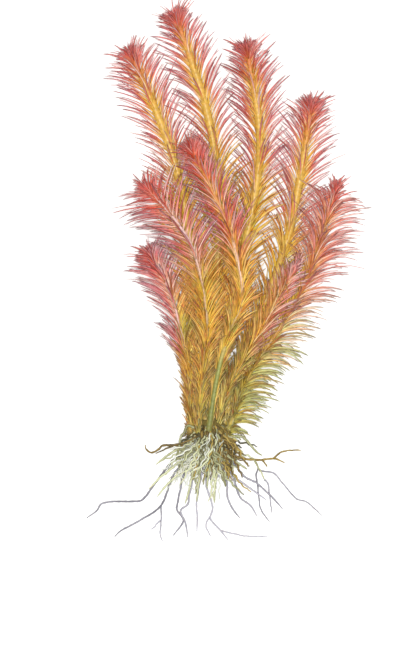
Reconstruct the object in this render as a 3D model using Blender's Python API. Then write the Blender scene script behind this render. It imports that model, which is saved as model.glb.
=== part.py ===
"""A bare-root bunch of fine-leaved rotala, lying on its back on a flat surface.

Nine leafy stems fan out of one root crown, each ending in a dense growing tip, and the crown
carries short fleshy roots and long fine ones. +X runs across the bunch, +Y along it towards the
growing tips and +Z up from the surface. The origin lies on the surface under the middle of the
bunch. Lengths are in millimetres and are turned to metres where a mesh or a curve is made.
"""

import math
from dataclasses import dataclass

import bmesh
import bpy
import numpy as np
from mathutils import Vector
from mathutils.bvhtree import BVHTree

MM = 0.001
GAP = 0.35
SEED = 4

# Leafy stem: radius at the crown and under the growing tip, sides, and the space between whorls
STEM_BASE_RADIUS = 1.25
STEM_TOP_RADIUS = 0.85
STEM_SIDES = 6
WHORL_SPACING = 7.2

# Growing tip: how far below its top it starts and its own stem ends, and its rows of leaves
TIP_LENGTH = 9.0
TIP_STEM_END = 4.0
TIP_ROWS = 2
TIP_END_RADIUS = 0.45

# Leaves by distance below the top of the growing tip: how far the point reaches and rises
LEAF_STATIONS = (2.0, 4.3, 6.0, 8.0, 11.0, 15.0, 22.0, 34.0)
LEAF_REACHES = (0.8, 2.4, 4.6, 6.6, 8.2, 9.8, 11.8, 12.8)
LEAF_RISES = (2.0, 4.2, 4.8, 5.4, 6.4, 8.2, 11.0, 12.8)
LEAF_SCATTER = 0.09

# Over this length above the crown the leaves grow from their base size to full size
BASE_ZONE = 60.0
BASE_POWER = 1.3

# A leaf point stays this much nearer to its own stem than to any other, however short that makes it
NEIGHBOUR_MARGIN = 0.7
SHORTEST_LEAF = 0.08
FITTING_STEPS = 24

# Root crown, a ribbed knot: place along Y, middle in X and half sizes in X and Z of each ring
CROWN_RINGS = (
    (-69.4, -7.3, 10.8, 7.4),
    (-72.0, -7.6, 10.0, 8.0),
    (-75.0, -7.9, 8.8, 7.4),
    (-78.0, -8.1, 7.2, 6.2),
    (-80.4, -8.2, 4.8, 4.4),
)
CROWN_END = (-8.3, -81.8)
CROWN_HEIGHT = 8.0
CROWN_SIDES = 28
CROWN_GROOVE = 0.12
CROWN_TOP = CROWN_RINGS[0][0]

# Short roots grown out of the crown: length, how low they may droop, the rings that they start
# below, the heights that they leave from, the room that each keeps to every other root at its
# start and end, how much of its width each joint keeps, and how far they fan sideways and upwards
SHORT_ROOT_LENGTH = (9.0, 19.0)
SHORT_ROOT_LOWEST = 1.4
SHORT_ROOT_BANDS = (1, 2, 3)
SHORT_ROOT_HEIGHTS = (2.6, 14.6)
SHORT_ROOT_ROOM = (2.0, 1.2)
SHORT_ROOT_TAPER = (0.5, 0.85, 0.75)
SHORT_ROOT_FAN = (1.15, 0.35)
SHORT_ROOT_DROOP = 0.12
SHORT_ROOT_WANDER = 0.14

# Roots: radius at the start and end, joint spacing and roundness. A branch starts at most this
# share as thick as its parent is there, and a root is moved clear of the crown in a few steps.
FLESHY_RADIUS = (0.8, 0.4)
FLESHY_STEP = 3.6
FLESHY_SIDES_LEVEL = 1
FINE_RADIUS = (0.38, 0.24)
FINE_STEP = 5.0
FINE_SIDES_LEVEL = 0
BRANCH_GIRTH = 0.85
SEATING_STEPS = 4

LEAFY_STEM_COLOUR = (0.72, 0.24, 0.12)
GROWING_TIP_COLOUR = (0.60, 0.08, 0.07)
CROWN_COLOUR = (0.16, 0.13, 0.03)
FLESHY_ROOT_COLOUR = (0.26, 0.24, 0.08)
FINE_ROOT_COLOUR = (0.40, 0.38, 0.42)
LEAF_ROUGHNESS = 0.55
ROOT_ROUGHNESS = 0.65


@dataclass
class Shoot:
    """One leafy stem: its axis from crown to growing tip, and how its leaves spread.

    The spread scales their reach, the tip spread does so in the growing tip, the opening brings
    their full reach nearer to the tip, and the base values scale their reach and rise at the crown.
    """

    axis: tuple
    spread: float = 1.0
    tip_spread: float = 1.0
    opening: float = 1.0
    base_spread: float = 0.14
    base_rise: float = 0.9


# Leafy stems, from the back of the bunch to its front
SHOOTS = (
    Shoot(
        axis=((-13.5, -69, 4.5), (-12.6, -38.7, 8), (-15.3, 6.3, 9), (-21.6, 44.6, 9), (-32, 74.7, 9),
              (-44.6, 102.6, 8.5)),
        spread=1.12,
    ),
    Shoot(
        axis=((-9.5, -69, 4.5), (-5.4, -34.2, 7.5), (-3.2, 31.1, 9), (-6.8, 64.8, 9), (-14.9, 94.1, 9),
              (-24.1, 119.6, 8.5)),
        spread=0.95,
    ),
    Shoot(
        axis=((-5.5, -69, 4.5), (-1.4, -34.2, 7.5), (5.9, 1.8, 9), (12.6, 33.3, 9), (15.3, 62.6, 9),
              (8.8, 105.4, 8.5)),
    ),
    Shoot(
        axis=((-1, -69, 4.5), (8.1, -36.5, 7.5), (25.2, 7.2, 9), (32.4, 37.8, 9), (39.3, 80.2, 8.5)),
        spread=0.95,
    ),
    Shoot(
        axis=((2.5, -69, 8.5), (9.5, -46.8, 8.5), (24.8, -23, 9), (38.7, 4, 9), (50.5, 42.2, 8)),
        spread=1.15, tip_spread=0.6, opening=1.6, base_spread=0.9, base_rise=0.15,
    ),
    Shoot(
        axis=((-7.5, -69, 12.5), (-2.3, -38.7, 16), (6.9, -11.7, 20), (5, 6, 21.5), (-1.4, 26.6, 22),
              (-17.8, 59.8, 21)),
    ),
    Shoot(
        axis=((-12.5, -69, 12.5), (-10.2, -42, 15), (-8.6, -20.7, 17.5), (-12.6, 4, 19),
              (-20.7, 21.2, 18.5), (-37.8, 41, 14)),
        spread=1.28,
    ),
    Shoot(
        axis=((-16, -69, 8.5), (-16.2, -45.5, 11), (-19, -32, 12), (-24.4, -9.9, 12), (-35.8, 13, 10.5)),
        spread=1.08,
    ),
    Shoot(
        axis=((-3.5, -69, 8.5), (0.8, -52, 12), (17.5, -22, 15.5), (33.3, 7.2, 17)),
        spread=0.7, base_spread=0.3,
    ),
)


@dataclass
class Root:
    """One root: its route outwards from the crown, or from the root that it branches off."""

    route: tuple
    parent: str = ""


# Fleshy roots that stand clear of the crown's own short ones
FLESHY_ROOTS = (
    Root(((-18, -76.5, 6.5), (-22, -77, 5), (-28.4, -77, 3.6), (-30.6, -79.2, 2.8), (-33.8, -80.6, 2),
          (-36.2, -79, 1.4), (-36.5, -77.2, 1.2))),
    Root(((-17, -72, 11), (-19, -70.8, 11.5), (-20.9, -73, 11), (-21.4, -78.3, 8), (-22.6, -83, 5.5))),
    Root(((-16, -79, 7), (-22.5, -79.5, 5), (-27, -82.6, 3.2), (-31.5, -86, 1.6))),
    Root(((1, -73.5, 11.5), (6.3, -73.2, 10.5), (10.4, -77.2, 8), (13.5, -80.2, 6), (16.2, -81.8, 4.8))),
    Root(((0, -79, 7), (5.9, -82.6, 4.2), (11.3, -83.7, 2.6), (15.8, -83.9, 1.9), (22.1, -83.5, 1.2),
          (26.6, -85.3, 0.9))),
    Root(((21.6, -83.5, 1.2), (23.6, -81.2, 1.9), (25.2, -80.1, 2), (28.8, -79.5, 1.6), (34.2, -79.7, 0.8)),
         parent="fleshy_root_05"),
    Root(((12.8, -83.8, 2.2), (14.9, -88.6, 1.3), (17.6, -93.2, 0.8)), parent="fleshy_root_05"),
    Root(((1, -76, 9.5), (4.8, -78, 8.5), (7, -81, 7))),
    Root(((-0.5, -80.5, 8.5), (4.5, -84.5, 6.8), (9.5, -88, 5.4))),
    Root(((-15.5, -80.5, 5), (-22.5, -86, 3.8), (-29, -91.5, 2.6), (-34.7, -97, 1.2))),
    Root(((-14.5, -81, 8), (-19.5, -87.5, 6), (-25.5, -93.5, 4.2), (-31, -100.5, 2.6))),
    Root(((-12.5, -81, 11), (-14.5, -88, 10), (-16, -96, 7), (-18.4, -103.5, 4.8))),
    Root(((-9.8, -81.4, 12), (-11.5, -88, 10.6), (-12.4, -96, 8), (-13.2, -102.5, 5.6))),
    Root(((-6.8, -81.4, 12), (-7.6, -87, 11), (-8.2, -92, 9.5), (-8.5, -96.5, 8))),
    Root(((-4, -81.2, 11), (-4.2, -88, 9.8), (-5.2, -96, 7), (-5, -102.3, 4.8))),
    Root(((-2, -80.8, 10), (-1.2, -85, 9.2), (0.8, -89, 7.6), (1.2, -92.8, 6.2))),
    Root(((16.2, -83.7, 1.9), (17.9, -84.9, 1.5), (18.7, -87.3, 1)), parent="fleshy_root_05"),
    Root(((7.6, -83.1, 3.6), (9, -85.4, 2.8), (10.1, -87.3, 2.2)), parent="fleshy_root_05"),
)

# Long fine roots, which lie on the surface and pass over each other
FINE_ROOTS = (
    Root(((-15.6, -80, 2.4), (-23.9, -84.5, 1.1), (-32.9, -95.4, 0.5), (-37.8, -101.7, 0.4),
          (-43.2, -102.6, 0.4), (-55.4, -103.5, 0.4), (-58.5, -107.1, 0.4), (-63, -110.3, 0.4))),
    Root(((-13.9, -80.8, 2.4), (-20.5, -86.5, 0.8), (-24.6, -92, 0.4), (-27.5, -100.8, 0.4),
          (-29.7, -105.3, 0.4), (-34.7, -109.4, 0.4), (-46.8, -115.7, 0.4), (-50.4, -118.8, 0.4))),
    Root(((-29.4, -104.9, 0.4), (-29.5, -112.5, 0.4), (-29.7, -117.9, 0.4), (-28.6, -121.1, 0.4)),
         parent="fine_root_02"),
    Root(((-12.3, -81.6, 2.4), (-16.5, -86, 0.7), (-19.8, -92, 0.4), (-21.6, -101.7, 0.4),
          (-22.1, -106.7, 0.4), (-19.4, -111.6, 0.4), (-23.9, -118.4, 0.4))),
    Root(((-11.2, -82, 2.4), (-14, -89, 0.5), (-16.3, -98.6, 0.5), (-17.2, -104, 0.9),
          (-20.5, -107, 1.5), (-18.4, -112.5, 1.5), (-17.2, -119.2, 0.4))),
    Root(((-9, -82, 2.4), (-11.3, -91, 0.4), (-13.1, -103, 0.4), (-12.9, -110, 0.4), (-13.1, -116.6, 0.4))),
    Root(((-7.6, -82, 2.4), (-9, -94, 0.4), (-6.1, -104.9, 0.4), (-7.2, -110.3, 0.4),
          (-2.7, -115.7, 0.4), (0.9, -120.2, 0.4))),
    Root(((-7.2, -110, 0.4), (-8.9, -114, 0.4), (-6.8, -118.8, 0.4)), parent="fine_root_07"),
    Root(((-2.4, -116, 0.4), (7.2, -118.4, 0.4), (18.9, -118.8, 0.4)), parent="fine_root_07"),
    Root(((-4.8, -82, 2.4), (-1.2, -89, 0.4), (0.2, -94.5, 0.4), (0.9, -100.8, 0.4),
          (3.2, -106.2, 0.4), (6.3, -110.3, 0.4))),
    Root(((-3.4, -81.6, 2.4), (2.2, -89, 0.4), (4.3, -94.4, 0.4), (6.3, -100.8, 0.4),
          (11.3, -104.9, 0.4), (14, -109.4, 0.4))),
    Root(((14.6, -88, 1.4), (13.9, -91, 0.4), (14.9, -96, 0.4), (15.3, -99.9, 0.4),
          (15.8, -106.2, 0.4), (19.8, -112.1, 0.4)), parent="fleshy_root_07"),
    Root(((17.6, -93, 0.8), (19.4, -95, 0.4), (19.8, -99.9, 0.4), (20.7, -108, 0.4)), parent="fleshy_root_07"),
    Root(((-2, -81, 2.4), (3.8, -86.4, 0.9), (8.1, -91.4, 1.3), (13.5, -94.2, 1.7),
          (18.9, -98.6, 1.7), (25.7, -106.2, 0.4))),
    Root(((-6.2, -82, 2.4), (-5.8, -88, 1.3), (-3.2, -91.6, 1.6), (3.2, -92.2, 1.6),
          (11.3, -97.2, 1.7), (18.2, -102, 1.7))),
    Root(((15, -89, 1.2), (17.6, -89.2, 0.5), (22.1, -90, 0.4), (26.6, -95.4, 0.4),
          (31.5, -101.3, 0.4), (36.9, -103.1, 0.4), (43.7, -109.4, 0.4)), parent="fleshy_root_07"),
    Root(((-29.5, -111.5, 0.4), (-31.6, -113.2, 0.4), (-34, -115.6, 0.4)), parent="fine_root_03"),
)


class Path:
    """A smooth curve through a few points, read by the distance along it."""

    def __init__(self, points):
        p = np.array(points, dtype=float)
        p = np.vstack([2 * p[0] - p[1], p, 2 * p[-1] - p[-2]])
        t = np.linspace(0.0, 1.0, 32, endpoint=False)[:, None]
        spans = [
            0.5 * (2 * b + (c - a) * t + (2 * a - 5 * b + 4 * c - d) * t**2 + (3 * b - a - 3 * c + d) * t**3)
            for a, b, c, d in zip(p, p[1:], p[2:], p[3:])
        ]
        self.points = np.vstack(spans + [p[-2:-1]])
        steps = np.linalg.norm(np.diff(self.points, axis=0), axis=1)
        self.run = np.concatenate([[0.0], np.cumsum(steps)])
        self.length = self.run[-1]

    def at(self, distance):
        """The points at the given distances from the start."""
        return np.stack([np.interp(distance, self.run, self.points[:, k]) for k in range(3)], axis=-1)

    def nearest(self, point):
        """The distance along the curve of its nearest point."""
        return self.run[np.linalg.norm(self.points - point, axis=1).argmin()]

    def frame(self, distance):
        """Unit vectors along the curve, to its right and up, at one distance."""
        along = unit(self.at(min(distance + 1.0, self.length)) - self.at(max(distance - 1.0, 0.0)))
        up = unit(np.array((0.0, 0.0, 1.0)) - along[2] * along)
        return along, np.cross(along, up), up


def unit(vector):
    """The same direction with length one."""
    return vector / np.linalg.norm(vector)


def seated_on_crown(axis):
    """A stem's path, started just above the crown's flat top however much the stem leans."""
    x, y, z = axis[0]
    lean = unit(np.subtract(axis[1], axis[0]))
    low_side = STEM_BASE_RADIUS * math.sqrt(1.0 - lean[1] ** 2)
    return Path(((x, CROWN_TOP + GAP + low_side, z),) + axis[1:])


def leaf_offsets(shoot, path, distance):
    """How far the leaves at a distance along a stem reach outwards and rise along it."""
    below_top = path.length - distance
    in_tip = below_top < TIP_LENGTH
    opening = 1.0 if in_tip else shoot.opening
    spread = shoot.tip_spread if in_tip else shoot.spread
    reach = spread * np.interp(below_top * opening, LEAF_STATIONS, LEAF_REACHES)
    rise = np.interp(below_top, LEAF_STATIONS, LEAF_RISES)
    grown = min(distance / BASE_ZONE, 1.0) ** BASE_POWER
    reach *= shoot.base_spread + (1.0 - shoot.base_spread) * grown
    rise *= shoot.base_rise + (1.0 - shoot.base_rise) * grown
    return reach, rise


def distance_to(paths, points):
    """The distance from each point to the nearest of several stems."""
    lines = np.vstack([path.at(np.arange(0.0, path.length, 2.0)) for path in paths])
    return np.linalg.norm(points[:, None, :] - lines[None, :, :], axis=2).min(axis=1)


def fitted_leaf_points(bases, points, own, others):
    """Leaf points shortened until they clear the neighbouring stems, and never below the surface."""
    fitted = bases + SHORTEST_LEAF * (points - bases)
    settled = np.zeros(len(bases), dtype=bool)
    for share in np.linspace(1.0, SHORTEST_LEAF, FITTING_STEPS):
        trial = bases + share * (points - bases)
        trial[:, 2] = np.maximum(trial[:, 2], 0.0)
        clear = distance_to([own], trial) + NEIGHBOUR_MARGIN < distance_to(others, trial)
        newly = clear & ~settled
        fitted[newly] = trial[newly]
        settled |= newly
    fitted[:, 2] = np.maximum(fitted[:, 2], 0.0)
    return fitted


def ring(path, distance, radius, turned):
    """Points of one ring round a stem, turned by half a side on every other ring."""
    _, right, up = path.frame(distance)
    angles = 2.0 * math.pi * (np.arange(STEM_SIDES) + 0.5 * turned) / STEM_SIDES
    return path.at(distance) + radius * (np.cos(angles)[:, None] * right + np.sin(angles)[:, None] * up)


def band(first, turned):
    """Triangles between two neighbouring rings, wound so that they face outwards."""
    faces = []
    for j in range(STEM_SIDES):
        k = (j + 1) % STEM_SIDES
        low, low_next = first + j, first + k
        high, high_next = low + STEM_SIDES, low_next + STEM_SIDES
        if turned:
            faces += [(low_next, low, high_next), (low, high, high_next)]
        else:
            faces += [(low_next, low, high), (high, high_next, low_next)]
    return faces


def leaf_point(shoot, path, base, rng):
    """Where the leaf that grows from one side of a stem ends, with a little scatter."""
    distance = path.nearest(base)
    along, right, up = path.frame(distance)
    offset = base - path.at(distance)
    outwards = unit(offset @ right * right + offset @ up * up)
    reach, rise = leaf_offsets(shoot, path, distance)
    sideways, stretch, lift = rng.normal(0.0, LEAF_SCATTER, 3)
    point = base + reach * (1.0 + stretch) * outwards + (rise + reach * lift) * along
    return point + reach * sideways * np.cross(along, outwards)


def leafy_solid(name, shoot, path, others, distances, radii, rng, pointed):
    """A stem whose every side triangle is drawn out to a leaf point, as one closed solid."""
    rings = [ring(path, d, r, i % 2) for i, (d, r) in enumerate(zip(distances, radii))]
    verts = np.vstack(rings)
    faces = []
    for i in range(len(rings) - 1):
        faces += band(i * STEM_SIDES, i % 2)
    first_ring = list(range(STEM_SIDES))
    last_ring = list(range(len(verts) - STEM_SIDES, len(verts)))
    if pointed:
        top = path.at(distances[-1]) + path.frame(distances[-1])[0] * radii[-1]
        faces += [(b, a, len(verts)) for a, b in zip(last_ring, last_ring[1:] + last_ring[:1])]
        verts = np.vstack([verts, top])
    bases = verts[np.array(faces)].mean(axis=1)
    points = np.array([leaf_point(shoot, path, base, rng) for base in bases])
    points = fitted_leaf_points(bases, points, path, others)
    sides = [tuple(first_ring)]
    if not pointed:
        sides.append(tuple(reversed(last_ring)))
    for tip, (a, b, c) in enumerate(faces, start=len(verts)):
        sides += [(a, b, tip), (b, c, tip), (c, a, tip)]
    mesh = bpy.data.meshes.new(name)
    mesh.from_pydata((np.vstack([verts, points]) * MM).tolist(), [], sides)
    return bpy.data.objects.new(name, mesh)


def build_leafy_stem(number, shoot, path, others, rng):
    """The stem of one shoot with its whorls of leaves, up to the growing tip."""
    end = path.length - TIP_LENGTH - GAP
    rows = round(end / WHORL_SPACING)
    distances = np.linspace(0.0, end, rows + 1)
    radii = np.linspace(STEM_BASE_RADIUS, STEM_TOP_RADIUS, rows + 1)
    return leafy_solid(f"leafy_stem_{number}", shoot, path, others, distances, radii, rng, False)


def build_growing_tip(number, shoot, path, others, rng):
    """The dense tuft of young leaves that ends one shoot."""
    distances = path.length - np.linspace(TIP_LENGTH, TIP_STEM_END, TIP_ROWS + 1)
    radii = np.linspace(STEM_TOP_RADIUS, TIP_END_RADIUS, TIP_ROWS + 1)
    return leafy_solid(f"growing_tip_{number}", shoot, path, others, distances, radii, rng, True)


def crown_knot():
    """The ribbed knot of stem bases, with the faces that lie between each pair of rings."""
    mesh = bmesh.new()
    rings = []
    for y, middle, half_x, half_z in CROWN_RINGS:
        verts = []
        for side in range(CROWN_SIDES):
            angle = 2.0 * math.pi * side / CROWN_SIDES
            size = 1.0 - CROWN_GROOVE * (side % 2)
            x = middle + half_x * size * math.cos(angle)
            z = CROWN_HEIGHT + half_z * size * math.sin(angle)
            verts.append(mesh.verts.new((x * MM, y * MM, z * MM)))
        rings.append(verts)
    bands = []
    for upper, lower in zip(rings, rings[1:]):
        around = zip(upper, upper[1:] + upper[:1], lower[1:] + lower[:1], lower)
        bands.append([mesh.faces.new(quad) for quad in around])
    mesh.faces.new(reversed(rings[0]))
    end = mesh.verts.new((CROWN_END[0] * MM, CROWN_END[1] * MM, CROWN_HEIGHT * MM))
    for a, b in zip(rings[-1], rings[-1][1:] + rings[-1][:1]):
        mesh.faces.new((a, b, end))
    mesh.normal_update()
    return mesh, bands


def branching_root(root, radii, parent, parent_radii):
    """Path and radii of a root that starts just off its parent's side, thinner than it is there."""
    first, second = np.array(root.route[0], dtype=float), np.array(root.route[1], dtype=float)
    distance = parent.nearest(first)
    along = parent.frame(distance)[0]
    carried_at = parent.at(distance)
    girth = np.interp(distance, (0.0, parent.length), parent_radii)
    thinning = min(1.0, BRANCH_GIRTH * girth / radii[0])
    heading = unit(second - carried_at)
    aside = unit(heading - heading @ along * along)
    tilt = abs(heading @ along)
    first = carried_at + aside * (girth + GAP + thinning * radii[0] * tilt)
    return Path((tuple(first),) + root.route[1:]), (thinning * radii[0], thinning * radii[1])


def crown_root(root, radii, knot):
    """Path and radii of a root whose first point is moved to just off the crown."""
    first = np.array(root.route[0], dtype=float)
    for _ in range(SEATING_STEPS):
        place, normal, _, away = knot.find_nearest(Vector(first * MM))
        inside = (Vector(first * MM) - place).dot(normal) < 0.0
        clearance = -away / MM if inside else away / MM
        first = first + (GAP + radii[0] - clearance) * np.array(normal)
    return Path((tuple(first),) + root.route[1:]), radii


def short_root_places(start, rng):
    """Joints of a short root that leaves the crown at a point and droops away from the stems."""
    _, middle, half_x, half_z = CROWN_RINGS[2]
    fan_x, fan_z = SHORT_ROOT_FAN
    aside, above = fan_x * (start[0] - middle) / half_x, fan_z * (start[2] - CROWN_HEIGHT) / half_z
    heading = np.array((aside, -1.0, above))
    step = rng.uniform(*SHORT_ROOT_LENGTH) / len(SHORT_ROOT_TAPER)
    places = [start]
    for _ in SHORT_ROOT_TAPER:
        heading = unit(heading)
        places.append(places[-1] + step * heading)
        places[-1][2] = max(places[-1][2], SHORT_ROOT_LOWEST)
        heading = heading + rng.normal(0.0, SHORT_ROOT_WANDER, 3) - (0.0, 0.0, SHORT_ROOT_DROOP)
    return np.array(places)


def grow_short_root(mesh, face, places):
    """Draw one face of the crown out along a short root, tapering from joint to joint."""
    for taper, here, there in zip(SHORT_ROOT_TAPER, places, places[1:]):
        face = bmesh.ops.extrude_discrete_faces(mesh, faces=[face])["faces"][0]
        middle = face.calc_center_median()
        for vert in face.verts:
            vert.co = middle + (vert.co - middle) * taper + Vector((there - here) * MM)


def build_root_crown(mesh, bands, paths, rng):
    """The knot with short roots grown from its lower bands, between the roots that stand clear."""
    low, high = SHORT_ROOT_HEIGHTS
    faces = [face for i in SHORT_ROOT_BANDS for face in bands[i]]
    faces = [face for face in faces if low < face.calc_center_median().z / MM < high]
    taken = np.vstack([path.points for path, _ in paths.values()])
    for i in rng.permutation(len(faces)):
        places = short_root_places(np.array(faces[i].calc_center_median()) / MM, rng)
        line = Path(places).points
        room = np.linspace(*SHORT_ROOT_ROOM, len(line))
        if (np.linalg.norm(line[:, None] - taken[None], axis=2).min(axis=1) > room).all():
            grow_short_root(mesh, faces[i], places)
            taken = np.vstack([taken, line])
    shape = bpy.data.meshes.new("root_crown")
    mesh.to_mesh(shape)
    mesh.free()
    return bpy.data.objects.new("root_crown", shape)


def build_root(name, path, radii, step, sides_level):
    """One root as a tapering tube along its route, no lower than the surface."""
    count = max(round(path.length / step), 2) + 1
    places = path.at(np.linspace(0.0, path.length, count))
    girths = np.linspace(*radii, count)
    places[:, 2] = np.maximum(places[:, 2], girths)
    curve = bpy.data.curves.new(name, "CURVE")
    curve.dimensions = "3D"
    curve.bevel_depth = radii[0] * MM
    curve.bevel_resolution = sides_level
    curve.use_fill_caps = True
    spline = curve.splines.new("POLY")
    spline.points.add(count - 1)
    for point, place, girth in zip(spline.points, places, girths):
        point.co = (*(place * MM), 1.0)
        point.radius = girth / radii[0]
    return bpy.data.objects.new(name, curve)


def dress(part, colour, roughness):
    """Give a part a material of its own."""
    material = bpy.data.materials.new(part.name)
    material.use_nodes = True
    shader = material.node_tree.nodes["Principled BSDF"]
    shader.inputs["Base Color"].default_value = (*colour, 1.0)
    shader.inputs["Roughness"].default_value = roughness
    shader.inputs["Metallic"].default_value = 0.0
    part.data.materials.append(material)


def build_shoots(rng):
    """Every leafy stem and growing tip, with their finishes."""
    paths = [seated_on_crown(shoot.axis) for shoot in SHOOTS]
    parts = []
    for number, (shoot, path) in enumerate(zip(SHOOTS, paths), start=1):
        others = [other for other in paths if other is not path]
        stem = build_leafy_stem(number, shoot, path, others, rng)
        tip = build_growing_tip(number, shoot, path, others, rng)
        parts += [(stem, LEAFY_STEM_COLOUR, LEAF_ROUGHNESS), (tip, GROWING_TIP_COLOUR, LEAF_ROUGHNESS)]
    return parts


def build_roots_and_crown(rng):
    """Every root that stands clear, and the crown that they leave, with their finishes."""
    mesh, bands = crown_knot()
    knot = BVHTree.FromBMesh(mesh)
    kinds = (
        ("fleshy_root", FLESHY_ROOTS, FLESHY_RADIUS, FLESHY_STEP, FLESHY_SIDES_LEVEL, FLESHY_ROOT_COLOUR),
        ("fine_root", FINE_ROOTS, FINE_RADIUS, FINE_STEP, FINE_SIDES_LEVEL, FINE_ROOT_COLOUR),
    )
    paths, parts = {}, []
    for kind, roots, radii, step, sides_level, colour in kinds:
        for number, root in enumerate(roots, start=1):
            name = f"{kind}_{number:02d}"
            if root.parent:
                paths[name] = branching_root(root, radii, *paths[root.parent])
            else:
                paths[name] = crown_root(root, radii, knot)
            parts.append((build_root(name, *paths[name], step, sides_level), colour, ROOT_ROUGHNESS))
    parts.append((build_root_crown(mesh, bands, paths, rng), CROWN_COLOUR, ROOT_ROUGHNESS))
    return parts


def main():
    """Build every part of the bunch and put it in the bunch's own collection."""
    for old in list(bpy.data.objects):
        bpy.data.objects.remove(old, do_unlink=True)
    bunch = bpy.data.collections.new("rotala")
    bpy.context.scene.collection.children.link(bunch)
    rng = np.random.default_rng(SEED)
    for part, colour, roughness in build_shoots(rng) + build_roots_and_crown(rng):
        bunch.objects.link(part)
        dress(part, colour, roughness)


main()
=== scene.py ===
"""Visual model of a bare-root bunch of fine-leaved rotala, laid on its back on a pale floor.

Every shoot is a smooth stem that carries whorls of single needle leaves and ends in a dense tuft
of young ones. The shoots leave one ribbed crown, which carries crowded short roots, fleshy roots
and long fine ones. Lengths are in millimetres and are turned to metres where a mesh is made.
+X runs across the bunch, +Y along it towards the growing tips and +Z up from the floor.
"""

import logging
import math
from dataclasses import dataclass
from enum import Enum

import bpy
import numpy as np
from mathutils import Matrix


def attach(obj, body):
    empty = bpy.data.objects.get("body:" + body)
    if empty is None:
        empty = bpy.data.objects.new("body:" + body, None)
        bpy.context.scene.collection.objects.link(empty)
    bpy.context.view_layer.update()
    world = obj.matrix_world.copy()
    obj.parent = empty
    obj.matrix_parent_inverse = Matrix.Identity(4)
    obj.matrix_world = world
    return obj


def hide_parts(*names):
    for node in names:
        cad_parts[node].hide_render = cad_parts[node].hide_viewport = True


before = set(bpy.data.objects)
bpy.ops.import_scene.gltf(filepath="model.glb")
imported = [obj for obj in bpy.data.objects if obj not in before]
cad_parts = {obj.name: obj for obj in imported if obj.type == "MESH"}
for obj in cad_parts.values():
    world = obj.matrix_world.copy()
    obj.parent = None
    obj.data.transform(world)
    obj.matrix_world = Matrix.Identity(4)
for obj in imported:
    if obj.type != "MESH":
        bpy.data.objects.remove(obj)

LOG = logging.getLogger("rotala")
MM = 0.001
SEED = 11
UP = np.array((0.0, 0.0, 1.0))
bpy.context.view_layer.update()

# The photograph's frame: its size in pixels, the length of one pixel, and the pixel over the origin
IMAGE_SIZE = (410, 665)
PIXEL = 0.45
ORIGIN_PIXEL = (226.0, 274.0)

# Height that no point of a leaf or of the crown lies under
FLOOR_GAP = 0.02

# Growing tip: how far below its top it starts and its own stem ends
TIP_LENGTH = 9.0
TIP_STEM_END = 4.0

# Crest: how far below the top the leaves just under the growing tip end
CREST_END = 26.0

# Leaves by distance below the top of the growing tip: how far the point reaches and rises
LEAF_STATIONS = (2.0, 4.3, 6.0, 8.0, 11.0, 15.0, 22.0, 34.0)
LEAF_REACHES = (0.8, 2.4, 4.6, 6.6, 8.2, 9.8, 11.8, 12.8)
LEAF_RISES = (2.0, 4.2, 4.8, 5.4, 6.4, 8.2, 11.0, 12.8)

# How leaves grow from their base size to full size over a shoot's base zone
BASE_POWER = 1.3

# Shares of their reach and rise that leaves pressed against other shoots have at the crown
PRESSED_SPREAD = 0.12
PRESSED_RISE = 0.9

# Whorls: the space between them by distance below the top, and close above the crown
WHORL_STATIONS = (0.0, 9.0, 25.0, 60.0)
WHORL_SPACES = (0.5, 1.0, 2.3, 2.6)
BASE_WHORL_SPACE = 1.9
BASE_WHORLS_END = 48.0

# Sines of a leaf's azimuth from which it counts as facing up, and as growing on the upper side
FACING_UP = 0.72
UPPER_SIDE = 0.1

# Sections of a leaf by their place from its seat to its point, and its width along it
LEAF_SECTIONS = np.array((0.0, 0.12, 0.3, 0.52, 0.74, 0.91, 1.0))
LEAF_SHAPE = ((0.0, 0.12, 0.32, 0.6, 0.85, 1.0), (0.75, 0.95, 1.0, 0.92, 0.74, 0.34))

# How dark the four corners of a leaf's section are, and its point: one edge is darker than the rest
CORNER_EDGES = (1.0, 0.0, 0.3, 0.5)
POINT_EDGE = 0.6

# By distance below the top: the size of a leaf's section, and the share of leaves that stray
LEAF_SIZES = ((4.0, 9.0, 16.0, 60.0, 100.0), (0.72, 0.8, 1.0, 1.0, 1.25))
STRAY_SHARES = ((4.0, 6.0, 20.0, 26.0), (0.04, 0.13, 0.13, 0.05))

# By distance from the start of the axis: the share of a leaf's reach, and the girth of the stem
CROWN_REACH = ((4.0, 18.0), (0.35, 1.0))
FOOT_GIRTH = ((0.0, 9.0, 20.0), (1.6, 1.2, 1.0))

# By distance below the top: how the stem narrows towards its end in the growing tip
TOP_GIRTH = ((TIP_STEM_END, TIP_LENGTH, 32.0), (0.4, 0.6, 1.0))

# By place in X: how much of the green of the lowest leaves shows
LOW_GREEN = ((-26.0, -14.0, -8.0, 4.0), (0.4, 0.75, 1.15, 1.0))

# Where something starts and where it is full. Loose leaves are counted below the top, the rest
# from the start of the axis: the stem's dull foot, leaves aged by the crown, and low green leaves
LOOSE = (40.0, 100.0)
DULL_FOOT = (16.0, 2.0)
CROWN_AGED = (42.0, 28.0)
LOW_LEAVES = (50.0, 8.0)

# Outlines of the bunch at its left and right: places along Y, and where each lies in X
LEFT_OUTLINE = ((-65.0, -40.0, -10.0, 20.0), (-20.0, -28.0, -36.0, -42.0))
RIGHT_OUTLINE = ((-65.0, -40.0, -10.0, 33.0), (8.0, 26.0, 44.0, 60.0))

# Age in millimetres below the top at which a leaf counts as fully old, and the shares of that age
# that a leaf gains deep inside the bunch and close above the crown
OLD_AGE = 130.0
SHADE_AGE = 0.5
CROWN_AGE = 0.6

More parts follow.
